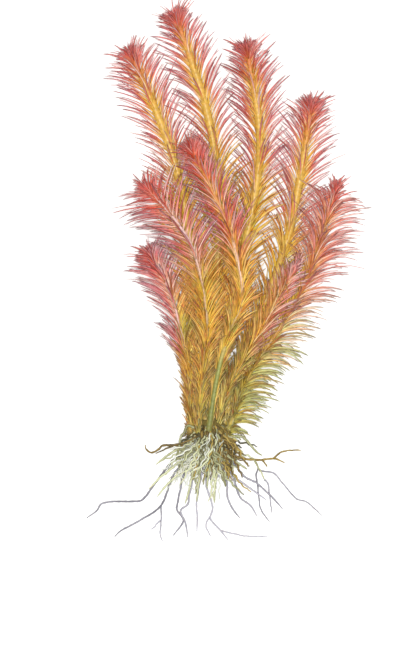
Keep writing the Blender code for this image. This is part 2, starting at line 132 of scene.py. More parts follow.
# Root crown, a ribbed knot: place along Y, middle in X and half sizes in X and Z of each ring
CROWN_RINGS = (
    (-65.6, -6.9, 3.6, 1.2),
    (-67.2, -7.0, 5.8, 2.4),
    (-69.0, -7.2, 7.8, 3.6),
    (-70.5, -7.4, 9.4, 4.8),
    (-73.0, -7.7, 9.2, 5.6),
    (-75.5, -7.9, 8.6, 5.8),
    (-78.0, -8.1, 7.2, 5.2),
    (-80.4, -8.2, 4.8, 4.0),
    (-81.8, -8.3, 2.0, 2.0),
)
CROWN_MIDDLE = -8.0
CROWN_HEIGHT = 8.0

# Living tissue: red light goes deepest into it, and its skin bends light a little more than water
TISSUE = {"Subsurface Radius": (1.0, 0.6, 0.35), "Subsurface Scale": 0.6 * MM, "IOR": 1.42}

# Noise values between which a surface's grain goes from its lowest to its highest
GRAIN_BOUNDS = (0.3, 0.7)


class LeafLook(Enum):
    """How the leaves and the stem of a shoot are coloured."""

    GOLDEN = "golden"
    AMBER = "amber"
    ROSY = "rosy"
    OLIVE = "olive"


def linear(hex_colour: str) -> tuple[float, float, float, float]:
    """Turn an sRGB hex colour into linear RGBA: ((c + 0.055) / 1.055) to the power 2.4 above the toe.

    Args:
        hex_colour: Six hex digits.

    Returns:
        Linear red, green, blue and an alpha of one.
    """
    srgb = [int(hex_colour[i : i + 2], 16) / 255.0 for i in (0, 2, 4)]
    r, g, b = (c / 12.92 if c <= 0.04045 else ((c + 0.055) / 1.055) ** 2.4 for c in srgb)
    return r, g, b, 1.0


def unit(vectors: np.ndarray) -> np.ndarray:
    """Scale vectors to length one: each divided by the root of its summed squares."""
    return vectors / np.maximum(np.linalg.norm(vectors, axis=-1, keepdims=True), 1e-9)


def portion(values: np.ndarray, start: float, full: float) -> np.ndarray:
    """How far values have gone from start to full: (value - start) / (full - start), within 0 and 1."""
    return np.clip((values - start) / (full - start), 0.0, 1.0)


def ring_angles(count: int) -> np.ndarray:
    """Angles of the points of a ring, in even steps from zero."""
    return 2.0 * math.pi * np.arange(count) / count


def above_floor(points: np.ndarray, soft: float = 1.0, lowest: float = 0.12) -> np.ndarray:
    """Bend points that would sink into the floor along it.

    Below the soft height z becomes lowest + (soft - lowest) * exp((z - soft) / (soft - lowest)),
    which meets the untouched part with the same slope.

    Args:
        points: Places whose last axis is x, y, z.
        soft: Height under which the floor is felt.
        lowest: Height that is never passed.

    Returns:
        The bent places.
    """
    bent = points.copy()
    z = bent[..., 2]
    span = soft - lowest
    bent[..., 2] = np.where(z < soft, lowest + span * np.exp((np.minimum(z, soft) - soft) / span), z)
    return bent


class Path:
    """A smooth Catmull-Rom curve through a few points, read by the distance along it."""

    def __init__(self, knots: tuple) -> None:
        """Sample the cubic between each pair of knots 32 times and sum the steps.

        Args:
            knots: Points in millimetres that the curve passes through.
        """
        p = np.array(knots, dtype=float)
        p = np.vstack([2 * p[0] - p[1], p, 2 * p[-1] - p[-2]])
        t = np.linspace(0.0, 1.0, 32, endpoint=False)[:, None]
        spans = [
            0.5 * (2 * b + (c - a) * t + (2 * a - 5 * b + 4 * c - d) * t**2 + (3 * b - a - 3 * c + d) * t**3)
            for a, b, c, d in zip(p, p[1:], p[2:], p[3:])
        ]
        self.points = np.vstack(spans + [p[-2:-1]])
        steps = np.linalg.norm(np.diff(self.points, axis=0), axis=1)
        self.run = np.concatenate([[0.0], np.cumsum(steps)])
        self.length = float(self.run[-1])

    def at(self, distance: np.ndarray) -> np.ndarray:
        """Places at the given distances from the start, by linear reading of the samples."""
        return np.stack([np.interp(distance, self.run, self.points[:, k]) for k in range(3)], axis=-1)

    def nearest(self, point: tuple) -> np.ndarray:
        """The place on the curve that is nearest to a point."""
        return self.points[np.linalg.norm(self.points - np.array(point), axis=1).argmin()]

    def frames(self, distance: np.ndarray) -> tuple[np.ndarray, np.ndarray, np.ndarray]:
        """Unit vectors along the curve, to its right and up, at the given distances.

        Along is the chord over 2 mm, up is the vertical less its part along, right is their cross.

        Args:
            distance: Distances from the start.

        Returns:
            Three arrays of vectors: along, right, up.
        """
        ahead = np.minimum(distance + 1.0, self.length)
        behind = np.maximum(distance - 1.0, 0.0)
        along = unit(self.at(ahead) - self.at(behind))
        up = unit(UP - along[..., 2:3] * along)
        return along, np.cross(along, up), up


def into_crown(start: tuple, y: float) -> tuple[float, float, float]:
    """A place inside the crown for a line that starts at its skin: halfway to its middle line."""
    return 0.5 * (start[0] + CROWN_MIDDLE), y, 0.5 * (start[2] + CROWN_HEIGHT)


def build_mesh(
    name: str,
    points: np.ndarray,
    faces: list[np.ndarray],
    material: bpy.types.Material,
    values: dict[str, np.ndarray] | None = None,
) -> bpy.types.Object:
    """Put arrays of points and faces into one smooth mesh object at the origin.

    Args:
        name: Name of the piece.
        points: N x 3 places in millimetres.
        faces: Arrays of corner numbers, each M x 3 or M x 4, wound so that they face outwards.
        material: The piece's material.
        values: Numbers that the material reads, N to each name.

    Returns:
        The new object, linked into the scene.
    """
    mesh = bpy.data.meshes.new(name)
    corners = np.concatenate([f.ravel() for f in faces]).astype(np.int32)
    sizes = np.concatenate([np.full(len(f), f.shape[1], dtype=np.int32) for f in faces])
    starts = np.concatenate([[0], np.cumsum(sizes)[:-1]]).astype(np.int32)
    mesh.vertices.add(len(points))
    mesh.vertices.foreach_set("co", (points * MM).astype(np.float32).ravel())
    mesh.loops.add(len(corners))
    mesh.loops.foreach_set("vertex_index", corners)
    mesh.polygons.add(len(sizes))
    mesh.polygons.foreach_set("loop_start", starts)
    mesh.polygons.foreach_set("use_smooth", np.ones(len(sizes), dtype=bool))
    mesh.update(calc_edges=True)
    mesh.validate()
    for key, numbers in (values or {}).items():
        layer = mesh.attributes.new(key, "FLOAT", "POINT")
        layer.data.foreach_set("value", numbers.astype(np.float32))
    mesh.materials.append(material)
    piece = bpy.data.objects.new(name, mesh)
    bpy.context.scene.collection.objects.link(piece)
    return piece


def bands(grid: np.ndarray) -> np.ndarray:
    """Four-sided faces between each ring of corner numbers and the next one, all the way round."""
    near, far = grid[..., :-1, :], grid[..., 1:, :]
    return np.stack([near, np.roll(near, -1, -1), np.roll(far, -1, -1), far], axis=-1).reshape(-1, 4)


def fans(ring: np.ndarray, pole: np.ndarray | int) -> np.ndarray:
    """Triangles from each side of a ring of corner numbers to the ring's pole."""
    corners = [ring, np.roll(ring, -1, -1), np.broadcast_to(pole, ring.shape)]
    return np.stack(corners, axis=-1).reshape(-1, 3)


def tube_faces(tubes: int, stations: int, sides: int) -> list[np.ndarray]:
    """Faces of closed tubes whose points are all the rings first, then two poles to a tube.

    Args:
        tubes: Number of tubes.
        stations: Rings to a tube.
        sides: Points to a ring.

    Returns:
        Arrays of corner numbers: the walls, the start caps and the end caps.
    """
    grid = np.arange(tubes * stations * sides).reshape(tubes, stations, sides)
    pole = grid.size + 2 * np.arange(tubes)[:, None]
    return [bands(grid), fans(grid[:, 0], pole)[:, [1, 0, 2]], fans(grid[:, -1], pole + 1)]


def tube_mesh(centres: np.ndarray, radii: np.ndarray, sides: int) -> tuple[np.ndarray, list[np.ndarray]]:
    """Close many tubes at once: a ring of points round every station, and a pole at both ends.

    A ring point is centre + radius * (cos(a) * side + sin(a) * top), where side is the tangent
    crossed with the vertical and top is side crossed with the tangent.

    Args:
        centres: P x S x 3 stations of P tubes.
        radii: P x S radii.
        sides: Points to a ring.

    Returns:
        Points, the rings first and then the two poles of each tube, and the face arrays.
    """
    tubes, stations = centres.shape[:2]
    tangent = unit(np.gradient(centres, axis=1))
    upright = np.abs(tangent[..., 2:3]) > 0.97
    side = unit(np.cross(tangent, np.where(upright, np.array((0.0, 1.0, 0.0)), UP)))
    top = np.cross(side, tangent)
    angle = ring_angles(sides)[:, None]
    ring = np.cos(angle) * side[:, :, None] + np.sin(angle) * top[:, :, None]
    rings = centres[:, :, None] + radii[..., None, None] * ring
    poles = centres[:, [0, -1]]
    points = np.concatenate([rings.reshape(-1, 3), poles.reshape(-1, 3)])
    return points, tube_faces(tubes, stations, sides)


def ring_values(values: np.ndarray, sides: int, painted_flank_shade: float = 0.0) -> np.ndarray:
    """Spread one value a station over its ring of points, and the end values over the two poles.

    Painted light and shade: the flank shade times (|sin(a)| - 0.5) is added round the ring,
    so top and bottom are painted lighter and the flanks darker with painted shade.

    Args:
        values: P x S values of P tubes.
        sides: Points to a ring.
        painted_flank_shade: How much painted light and painted shade swing the value round the ring.

    Returns:
        One value a point, in the order that tube_mesh gives them.
    """
    # Painted light on top and underneath, painted shade along the flanks
    swing = painted_flank_shade * (np.abs(np.sin(ring_angles(sides))) - 0.5)
    rings = (values[..., None] + swing).reshape(-1)
    return np.concatenate([rings, values[:, [0, -1]].reshape(-1)])


def add_node(
    tree: bpy.types.NodeTree, kind: str, settings: dict | None = None, inputs: dict | None = None
) -> bpy.types.Node:
    """Add one node, set its properties, and set or link its inputs.

    Args:
        tree: The material's node tree.
        kind: Blender's type name of the node.
        settings: Property values by name.
        inputs: By input name or number, a value or an output socket to link from.

    Returns:
        The new node.
    """
    node = tree.nodes.new(kind)
    for key, value in (settings or {}).items():
        setattr(node, key, value)
    for key, value in (inputs or {}).items():
        if isinstance(value, bpy.types.NodeSocket):
            tree.links.new(value, node.inputs[key])
        else:
            node.inputs[key].default_value = value
    return node


@dataclass(frozen=True)
class Coat:
    """One layer of colour over those below it, and what it follows.

    The colour is an sRGB hex value, stops of place and hex value along the piece, or a stack of
    coats of its own. Without one the coat darkens and lightens what is below it. The guide is the
    name of a mesh attribute or the size of noise patches in millimetres. The strength goes smoothly
    from its first value at the guide's lower bound to its second at the upper one, and without
    bounds it is the guide itself.
    """

    colour: str | tuple
    guide: str | float = ""
    bounds: tuple[float, float] | None = None
    strength: tuple[float, float] = (0.0, 1.0)
    blend: str = "MIX"


class Skin:
    """A living surface while it is painted: its material, and the guides that its coats follow."""

    def __init__(
        self, name: str, roughness: tuple[float, float], subsurface: float, grain: float, relief: float
    ) -> None:
        """Start a material whose roughness and bump follow fine grain.

        Args:
            name: Name of the material.
            roughness: Lowest and highest roughness.
            subsurface: Share of light that passes through the tissue.
            grain: Size of the surface grain in millimetres.
            relief: Height of the surface grain in millimetres.
        """
        self.guides: dict[tuple, bpy.types.NodeSocket] = {}
        self.material = bpy.data.materials.new(name)
        self.material.use_nodes = True
        self.tree = self.material.node_tree
        self.shader = self.tree.nodes["Principled BSDF"]
        self.shader.inputs["Subsurface Weight"].default_value = subsurface
        for key, value in TISSUE.items():
            self.shader.inputs[key].default_value = value
        gloss = self.strength(Coat("", grain, GRAIN_BOUNDS, roughness))
        self.tree.links.new(gloss, self.shader.inputs["Roughness"])
        inputs = {"Height": self.guide(grain), "Distance": relief * MM, "Strength": 0.6}
        bump = add_node(self.tree, "ShaderNodeBump", inputs=inputs)
        self.tree.links.new(bump.outputs["Normal"], self.shader.inputs["Normal"])

    def guide(self, source: str | float, detail: float = 2.0) -> bpy.types.NodeSocket:
        """What a coat follows: an attribute of the mesh, or noise on the object's own coordinates.

        Args:
            source: Name of the attribute, or size of the noise patches in millimetres.
            detail: How finely the noise is broken up.

        Returns:
            The socket that gives the value, made once and then used again.
        """
        key = (source, detail)
        if key not in self.guides:
            if isinstance(source, str):
                node = add_node(self.tree, "ShaderNodeAttribute", {"attribute_name": source})
            else:
                place = add_node(self.tree, "ShaderNodeTexCoord").outputs["Object"]
                inputs = {"Vector": place, "Scale": 1.0 / (source * MM), "Detail": detail}
                node = add_node(self.tree, "ShaderNodeTexNoise", inputs=inputs)
            self.guides[key] = node.outputs["Fac"]
        return self.guides[key]

    def strength(self, coat: Coat) -> bpy.types.NodeSocket:
        """How strongly a coat shows: a smooth step of its guide between the bounds, or the guide.

        Args:
            coat: The coat.

        Returns:
            The socket that gives the strength.
        """
        if coat.bounds is None:
            return self.guide(coat.guide)
        ends = zip(("From Min", "From Max", "To Min", "To Max"), (*coat.bounds, *coat.strength))
        inputs = {"Value": self.guide(coat.guide), **dict(ends)}
        step = add_node(self.tree, "ShaderNodeMapRange", {"interpolation_type": "SMOOTHSTEP"}, inputs)
        return step.outputs["Result"]

    def tint(self, colour: str | tuple, along: bpy.types.NodeSocket) -> bpy.types.NodeSocket | tuple:
        """A coat's own colour: linear, read along the piece between stops, or a stack's.

        Args:
            colour: Hex value, stops of place and hex value, or coats.
            along: Socket that gives the place between the stops.

        Returns:
            The colour, or the socket that gives it.
        """
        if isinstance(colour, str):
            return linear(colour)
        if isinstance(colour[0], Coat):
            return self.painted(colour, along)
        node = add_node(self.tree, "ShaderNodeValToRGB", inputs={"Fac": along})
        elements = node.color_ramp.elements
        while len(elements) < len(colour):
            elements.new(1.0)
        for element, (place, hex_colour) in zip(elements, colour):
            element.position = place
            element.color = linear(hex_colour)
        return node.outputs["Color"]

    def painted(self, coats: tuple[Coat, ...], along: bpy.types.NodeSocket) -> bpy.types.NodeSocket:
        """Lay coats over each other: below * (1 - strength) + colour blended on it * strength.

        Args:
            coats: The coats, the lowest first, which has no guide.
            along: Socket that gives the place between the stops of a colour.

        Returns:
            The socket of the finished colour.
        """
        below = self.tint(coats[0].colour, along)
        for coat in coats[1:]:
            if coat.colour:
                inputs = {0: self.strength(coat), 6: below, 7: self.tint(coat.colour, along)}
            else:
                inputs = {0: 1.0, 6: below, 7: self.strength(coat)}
            settings = {"data_type": "RGBA", "blend_type": coat.blend}
            below = add_node(self.tree, "ShaderNodeMix", settings, inputs).outputs[2]
        return below

    def finished(self, coats: tuple[Coat, ...], along: bpy.types.NodeSocket) -> bpy.types.Material:
        """Paint the surface with its coats and give the finished material."""
        self.tree.links.new(self.painted(coats, along), self.shader.inputs["Base Color"])
        return self.material


@dataclass(frozen=True)
class LeafFinish:
    """Living needle leaf, waxy and slightly see-through, coloured by its age and along its length.

    Young leaves are crimson all over. Grown ones leave the stem golden or rosy, are coral pink over
    their middle and end in a fine dusky point. Old ones turn gold, rust and olive.
    """

    name: str
    young: tuple = ((0.0, "DA7650"), (0.3, "DC7062"), (0.75, "DE8682"), (1.0, "985462"))
    grown: tuple = (
        (0.0, "EACC58"), (0.18, "EABE58"), (0.32, "E89A5C"), (0.46, "E07870"), (0.74, "DC8C92"),
        (0.9, "AC6A76"), (1.0, "6C3C4C"),
    )
    old: tuple = ((0.0, "F6D44E"), (0.35, "F4C44E"), (0.7, "E8AC5A"), (1.0, "906C40"))
    rust: tuple = ((0.0, "F0A83C"), (0.4, "E48848"), (0.75, "D07A58"), (1.0, "84503C"))
    olive: tuple = ((0.0, "E6D052"), (0.45, "CEBA54"), (1.0, "8C884C"))
    green: tuple = ((0.0, "C8CA74"), (0.4, "D2D89A"), (0.8, "B8C28E"), (1.0, "6E7854"))
    base: tuple = ((0.0, "C6BC58"), (0.5, "A4A258"), (1.0, "6C6E50"))
    pale: str = "FFF0E4"
    pale_old: str = "F6DE86"
    dark: tuple = ((0.0, "E0C890"), (0.3, "C89070"), (0.55, "98505A"), (1.0, "6E3848"))
    dark_old: str = "B0925C"
    shaded: str = "D0B49C"
    foot: str = "B29C60"
    grown_age: tuple[float, float] = (0.05, 0.17)
    old_age: tuple[float, float] = (0.48, 0.74)

    def material(self) -> bpy.types.Material:
        """Paint leaves by their age, then green, low and dark ones, and shade each one finely.

        Olive patches of 14 mm and rust specks of 3 mm lie on old leaves. Within each age, leaves of
        a high tone are paler and those of a low tone darker.

        Returns:
            The finished material.
        """
        young = (Coat(self.young), Coat(self.pale, "tone", (0.6, 1.0), (0.0, 0.3)))
        grown = (Coat(self.grown), Coat(self.pale, "tone", (0.55, 1.0), (0.0, 0.55)))
        old = (
            Coat(self.old),
            Coat(self.olive, 14.0, (0.5, 0.72)),
            Coat(self.rust, 3.0, (0.52, 0.68), (0.0, 0.8)),
            Coat(self.pale_old, "tone", (0.55, 1.0), (0.0, 0.55)),
        )
        dark = (Coat(self.dark), Coat(self.dark_old, "age", self.old_age))
        skin = Skin(self.name, roughness=(0.42, 0.62), subsurface=0.18, grain=0.5, relief=0.05)
        return skin.finished((
            Coat(young),
            Coat(grown, "age", self.grown_age),
            Coat(old, "age", self.old_age),
            Coat(self.green, "green"),
            Coat(self.base, "low"),
            Coat(self.foot, "low", (0.8, 1.0), (0.0, 0.5), "MULTIPLY"),
            Coat(dark, "edge", (0.2, 1.0), (0.0, 0.8), "MULTIPLY"),
            Coat(self.shaded, "tone", (0.0, 0.3), (0.9, 0.0), "MULTIPLY"),
            Coat("", 2.2, GRAIN_BOUNDS, (0.92, 1.2), "MULTIPLY"),
        ), skin.guide("run"))


@dataclass(frozen=True)
class StemFinish:
    """Living stem, smooth and juicy, coloured by its age from the growing tip down to the crown.

    It is a little warmer where a whorl leaves it, streaked by a grain of 1.6 mm, and dull at its
    foot in the crown.
    """

    name: str
    ages: tuple = ((0.0, "C85C44"), (0.1, "CC8648"), (0.22, "CEA64C"), (0.7, "CCA84C"), (1.0, "BCA048"))
    joint: str = "D09A64"
    foot: str = "7C7438"

    def material(self) -> bpy.types.Material:
        """Paint the stem along its age, then its joints, its streaks and its foot.

        Returns:
            The finished material.
        """
        skin = Skin(self.name, roughness=(0.35, 0.5), subsurface=0.15, grain=0.8, relief=0.06)
        return skin.finished((
            Coat(self.ages),
            Coat(self.joint, "swelling", (0.3, 1.0), (0.0, 0.2), "MULTIPLY"),
            Coat("", 1.6, GRAIN_BOUNDS, (0.85, 1.12), "MULTIPLY"),
            Coat(self.foot, "foot", (0.0, 1.0), (0.0, 0.75)),
        ), skin.guide("age"))


@dataclass(frozen=True)
class RootFinish:
    """Living root tissue: dull skin with lighter and darker stretches along it.

    Its shade is half the sum of each root's own tone and noise in patches of the given size. On
    roots the tone also holds painted light on top and underneath and painted shade along the flanks.
    """

    name: str
    light: str
    middle: str
    dark: str
    patch: float = 4.0

    def material(self) -> bpy.types.Material:
        """Paint the root from dark to light by its shade.

        Returns:
            The finished material.
        """
        skin = Skin(self.name, roughness=(0.5, 0.75), subsurface=0.1, grain=0.6, relief=0.12)
        both = {0: skin.guide("tone"), 1: skin.guide(self.patch, detail=4.0)}
        total = add_node(skin.tree, "ShaderNodeMath", {"operation": "ADD"}, both).outputs[0]
        shade = add_node(skin.tree, "ShaderNodeMath", {"operation": "MULTIPLY"}, {0: total, 1: 0.5})
        stops = ((0.3, self.dark), (0.5, self.middle), (0.72, self.light))
        return skin.finished((Coat(stops),), shade.outputs[0])


RED_YOUNG = ((0.0, "DE6A48"), (0.3, "E06454"), (0.75, "E27E74"), (1.0, "965260"))

LEAF_FINISHES = {
    LeafLook.GOLDEN: LeafFinish("golden_based_needle_leaf"),
    LeafLook.AMBER: LeafFinish(
        "amber_based_needle_leaf",
        young=RED_YOUNG,
        grown=(
            (0.0, "EABA54"), (0.2, "E69C50"), (0.36, "DE7052"), (0.55, "D86E6A"), (0.78, "D68C92"),
            (1.0, "784454"),
        ),
        old_age=(0.64, 1.02),
    ),
    LeafLook.ROSY: LeafFinish(
        "rosy_based_needle_leaf",
        young=RED_YOUNG,
        grown=((0.0, "F2D2BC"), (0.2, "EAA08E"), (0.42, "DC7C7E"), (0.74, "DA9EA4"), (1.0, "704858")),
        old_age=(0.52, 0.86),
    ),
    LeafLook.OLIVE: LeafFinish(
        "olive_based_needle_leaf",
        young=RED_YOUNG,
        grown=(
            (0.0, "E4B460"), (0.2, "E2A26C"), (0.42, "E08E7C"), (0.72, "DEA29E"), (0.92, "A87270"),
            (1.0, "744444"),
        ),
        rust=((0.0, "DC9048"), (0.4, "CA6C44"), (0.75, "BC624E"), (1.0, "764436")),
        dark=((0.0, "E0C890"), (0.3, "D49868"), (0.6, "C07666"), (1.0, "7C4A44")),
        grown_age=(0.04, 0.14),
        old_age=(0.5, 0.85),
    ),
}

STEM_FINISHES = {
    LeafLook.GOLDEN: StemFinish("golden_stem"),
    LeafLook.AMBER: StemFinish(
        "amber_stem",
        ages=(
            (0.0, "C8503C"), (0.12, "CC8440"), (0.3, "CC9050"), (0.38, "D4A478"), (0.46, "D8B8A4"),
            (0.58, "CCA878"), (0.76, "BCA460"), (0.83, "969A54"), (1.0, "7E8246"),
        ),
    ),
    LeafLook.ROSY: StemFinish(
        "rosy_stem",
        ages=(
            (0.0, "D0604C"), (0.1, "D8B4B0"), (0.28, "D4B4B0"), (0.42, "C4A078"), (0.8, "A09A68"),
            (1.0, "989A62"),
        ),
    ),
    LeafLook.OLIVE: StemFinish(
        "olive_stem",
        ages=((0.0, "C0523C"), (0.12, "C47850"), (0.4, "CC9450"), (0.75, "BCA04C"), (1.0, "A09848")),
    ),
}

FLESHY_SKIN = RootFinish("fleshy_root_skin", light="CCCEA8", middle="97966C", dark="4E4A30")
PALE_SKIN = RootFinish("pale_root_skin", light="DEDFD2", middle="ABAC98", dark="5C5B46")
AMBER_SKIN = RootFinish("amber_root_skin", light="B0984E", middle="7A6432", dark="3C321A")
FINE_SKIN = RootFinish("fine_root_skin", light="B0ADB6", middle="86838C", dark="56535C", patch=9.0)
CROWN_TISSUE = RootFinish("crown_tissue", light="B4A04E", middle="7E6E34", dark="4E4220", patch=2.5)

MATERIALS: dict[str, bpy.types.Material] = {}


@dataclass(frozen=True)
class Habit:
    """How single leaves stand, and how unlike each other they are.

    A scatter is a standard deviation. Stretch, shortening and drift are shares of the leaf's
    length, the seat is the share of the stem's radius at which a leaf starts, and the twist is the
    most that a leaf turns about itself, in radians. A pair of numbers is for the growing tip and for
    grown leaves, but the widths are those of the narrowest and the widest leaf. Loose leaves are
    those far below the top.
    """

    azimuth_scatter: float = 0.25
    stretch: float = 1.07
    stretch_scatter: float = 0.07
    stray_gain: tuple[float, float] = (0.6, 0.28)
    shortening: tuple[float, float] = (0.1, 0.22)
    loose_shortening: float = 0.15
    reach_scatter: float = 0.08
    rise_scatter: float = 0.07
    bend_scatter: float = 0.3
    drift: float = 0.12
    loose_drift: float = 0.1
    seat: float = 0.85
    twist: float = 1.2
    widths: tuple[float, float] = (0.85, 1.15)
    age_scatter: float = 0.03


HABIT = Habit()


@dataclass
class Shoot:
    """One shoot: its axis, how its leaves stand, and how it is coloured.

    The spread scales how far leaves reach, the tip spread does so in the growing tip, and the
    opening brings their full reach nearer to the top. Over the base zone, leaves grow from the base
    spread and base rise, shares of their reach and rise at the crown, and open_right keeps those on
    the left side pressed.

    The cover is the share of leaves kept where they face up, the base cover that kept close above
    the crown and the crest cover that just under the growing tip. No leaf grows on the upper side
    below the bare length. The whorl spread widens the spaces between whorls, the scatter moves
    leaves along the stem, the stray scales the share of leaves that stand out, and the bend is half
    the angle in degrees through which a leaf turns. Leaves lower than shaded_from along Y grow
    shaded inside the bunch.
    """

    number: int
    axis: tuple
    look: LeafLook = LeafLook.GOLDEN
    spread: float = 1.0
    tip_spread: float = 1.0
    opening: float = 1.0
    base_zone: float = 90.0
    base_spread: float = PRESSED_SPREAD
    base_rise: float = PRESSED_RISE
    open_right: bool = False
    cover: float = 0.32
    base_cover: float = 1.0
    crest_cover: float = 1.0
    bare: float = 0.0
    leaves_to_whorl: int = 11
    tuft_leaves: int = 24
    whorl_spread: float = 1.0
    scatter: float = 0.6
    stray: float = 1.0
    bend: float = 15.0
    leaf_width: float = 0.7
    leaf_thickness: float = 0.5
    stem_base: float = 2.0
    stem_top: float = 1.75
    stem_sides: int = 14
    stem_step: float = 0.45
    shaded_from: float = 40.0

    def __post_init__(self) -> None:
        """Work out the axis, led on into the crown, and the shoot's own stream of random numbers."""
        self.path = Path((into_crown(self.axis[0], -77.5),) + self.axis)
        self.rng = np.random.default_rng(SEED + self.number)

    def whorl_places(self) -> np.ndarray:
        """Lay the whorls from the top down with spaces that widen with age.

        Returns:
            Distances of the whorls along the axis.
        """
        places, below = [], TIP_STEM_END + 0.3
        while below < self.path.length - 1.0:
            places.append(self.path.length - below)
            space = float(np.interp(below, WHORL_STATIONS, WHORL_SPACES))
            space *= self.whorl_spread if below > TIP_LENGTH else 1.0
            near_crown = self.path.length - below < BASE_WHORLS_END
            below += min(space, BASE_WHORL_SPACE * self.whorl_spread) if near_crown else space
        return np.array(places)

    def offsets(self, distance: np.ndarray, azimuth: np.ndarray) -> tuple[np.ndarray, np.ndarray]:
        """How far leaves at the given distances reach outwards and rise along the stem.

        Args:
            distance: Distances of the leaves along the axis.
            azimuth: Which way each leaf points, zero to the right of the stem.

        Returns:
            Reach and rise of each leaf point in millimetres.
        """
        below = self.path.length - distance
        neck = (TIP_LENGTH, TIP_LENGTH + 5.0)
        opening = np.interp(below, neck, (1.0, self.opening))
        spread = np.interp(below, neck, (self.tip_spread, self.spread))
        reach = spread * np.interp(below * opening, LEAF_STATIONS, LEAF_REACHES)
        rise = np.interp(below, LEAF_STATIONS, LEAF_RISES)
        grown = np.minimum(distance / self.base_zone, 1.0) ** BASE_POWER
        pressed = (np.cos(azimuth) < -0.2) & self.open_right
        base_spread = np.where(pressed, PRESSED_SPREAD, self.base_spread)
        base_rise = np.where(pressed, PRESSED_RISE, self.base_rise)
        reach = reach * (base_spread + (1.0 - base_spread) * grown)
        rise = rise * (base_rise + (1.0 - base_rise) * grown)
        in_crown = np.interp(distance, *CROWN_REACH)
        return reach * in_crown, rise * in_crown

    def stem_radius(self, distance: np.ndarray) -> np.ndarray:
        """Radius of the stem: an even taper, wider in the crown and quickly narrower in the tuft.

        Args:
            distance: Distances along the axis.

        Returns:
            Radii in millimetres.
        """
        share = distance / (self.path.length - TIP_LENGTH)
        radius = self.stem_base + (self.stem_top - self.stem_base) * np.minimum(share, 1.0)
        radius = radius * np.interp(distance, *FOOT_GIRTH)
        return radius * np.interp(self.path.length - distance, *TOP_GIRTH)

    def stem(self) -> bpy.types.Object:
        """Build the stem: a closed tube that swells by a twentieth at every whorl.

        The swelling is exp(-(d / w) squared), where d is the distance to the nearest whorl and w the
        space between two rings.

        Returns:
            The stem.
        """
        places = np.arange(0.0, self.path.length - TIP_STEM_END, self.stem_step)
        near = np.abs(places[:, None] - self.whorl_places()[None, :]).min(axis=1)
        swelling = np.exp(-((near / self.stem_step) ** 2))
        radii = self.stem_radius(places) * (1.0 + 0.05 * swelling)
        points, faces = tube_mesh(self.path.at(places)[None], radii[None], self.stem_sides)
        values = {
            "age": portion(self.path.length - places, 0.0, OLD_AGE),
            "swelling": swelling,
            "foot": portion(places, *DULL_FOOT),
        }
        values = {key: ring_values(value[None], self.stem_sides) for key, value in values.items()}
        material = MATERIALS[STEM_FINISHES[self.look].name]
        return build_mesh(f"stem_{self.number}", points, faces, material, values)

    def leaf_seats(self, whorls: np.ndarray, count: int) -> tuple[np.ndarray, np.ndarray]:
        """Distance and azimuth of every leaf: even turns in a whorl, each whorl turned half a step.

        Args:
            whorls: Distances of the whorls.
            count: Leaves to a whorl.

        Returns:
            Distances and azimuths, with part of the leaves that face up left out.
        """
        half_step = 0.5 * (np.arange(len(whorls)) % 2)[:, None]
        azimuth = 2.0 * math.pi / count * (np.arange(count)[None] + half_step)
        azimuth = azimuth + self.rng.uniform(0.0, 2.0 * math.pi)
        azimuth = azimuth + self.rng.normal(0.0, HABIT.azimuth_scatter, azimuth.shape)
        distance = whorls[:, None] + self.rng.normal(0.0, self.scatter, azimuth.shape)
        distance, azimuth = distance.ravel(), azimuth.ravel()
        below = self.path.length - distance
        grown = below > TIP_LENGTH
        near_crown = distance < BASE_WHORLS_END
        thinned = (np.sin(azimuth) > FACING_UP) & grown & ~near_crown
        kept = ~thinned | (self.rng.random(len(azimuth)) < self.cover)
        kept &= ~((np.sin(azimuth) > UPPER_SIDE) & (distance < self.bare))
        kept &= ~near_crown | (self.rng.random(len(azimuth)) < self.base_cover)
        if self.crest_cover < 1.0:
            crest = grown & (below < CREST_END)
            kept &= ~crest | (self.rng.random(len(azimuth)) < self.crest_cover)
        return distance[kept], azimuth[kept]

    def leaf_lines(self, distance: np.ndarray, azimuth: np.ndarray) -> tuple[np.ndarray, np.ndarray]:
        """Middle lines of the leaves: arcs whose chords keep each leaf's reach and rise.

        An arc's angle to the stem grows evenly from chord angle - bend to chord angle + bend, so its
        length is chord * bend / sin(bend). It drifts sideways with the square of the way along it.

        Args:
            distance: Distances of the leaves along the axis.
            azimuth: Which way each leaf points.

        Returns:
            Places of the sections of each leaf, and the direction across it.
        """
        total = len(distance)
        below = self.path.length - distance
        along, right, up = self.path.frames(distance)
        outward = np.cos(azimuth)[:, None] * right + np.sin(azimuth)[:, None] * up
        across = np.cross(along, outward)
        radius = self.stem_radius(distance)
        reach, rise = self.offsets(distance, azimuth)
        reach = np.maximum(reach - 0.6 * (radius - 0.6), 0.6 * reach)
        loose = portion(below, *LOOSE)
        young = below < TIP_LENGTH
        stray = self.rng.random(total) < self.stray * np.interp(below, *STRAY_SHARES)
        stretch = HABIT.stretch + self.rng.normal(0.0, HABIT.stretch_scatter, total)
        stretch = stretch + np.where(young, *HABIT.stray_gain) * stray
        shortening = HABIT.shortening[1] + HABIT.loose_shortening * loose
        shortening = np.where(young, HABIT.shortening[0], shortening)
        stretch = stretch - shortening * self.rng.random(total) ** 2
        reach = reach * stretch * (1.0 + self.rng.normal(0.0, HABIT.reach_scatter, total))
        rise = rise * stretch * (1.0 + self.rng.normal(0.0, HABIT.rise_scatter, total))
        chord_angle = np.arctan2(reach, rise)
        bend = np.clip(1.0 + self.rng.normal(0.0, HABIT.bend_scatter, total), 0.2, 2.0)
        bend = np.minimum(np.radians(self.bend) * bend, chord_angle * 0.8 + 0.05)
        length = np.hypot(reach, rise) * bend / np.sin(bend)
        start = (chord_angle - bend)[:, None]
        angle = start + 2.0 * bend[:, None] * LEAF_SECTIONS
        step = (length / (2.0 * bend))[:, None]
        forwards = step * (np.sin(angle) - np.sin(start))
        outwards = step * (np.cos(start) - np.cos(angle))
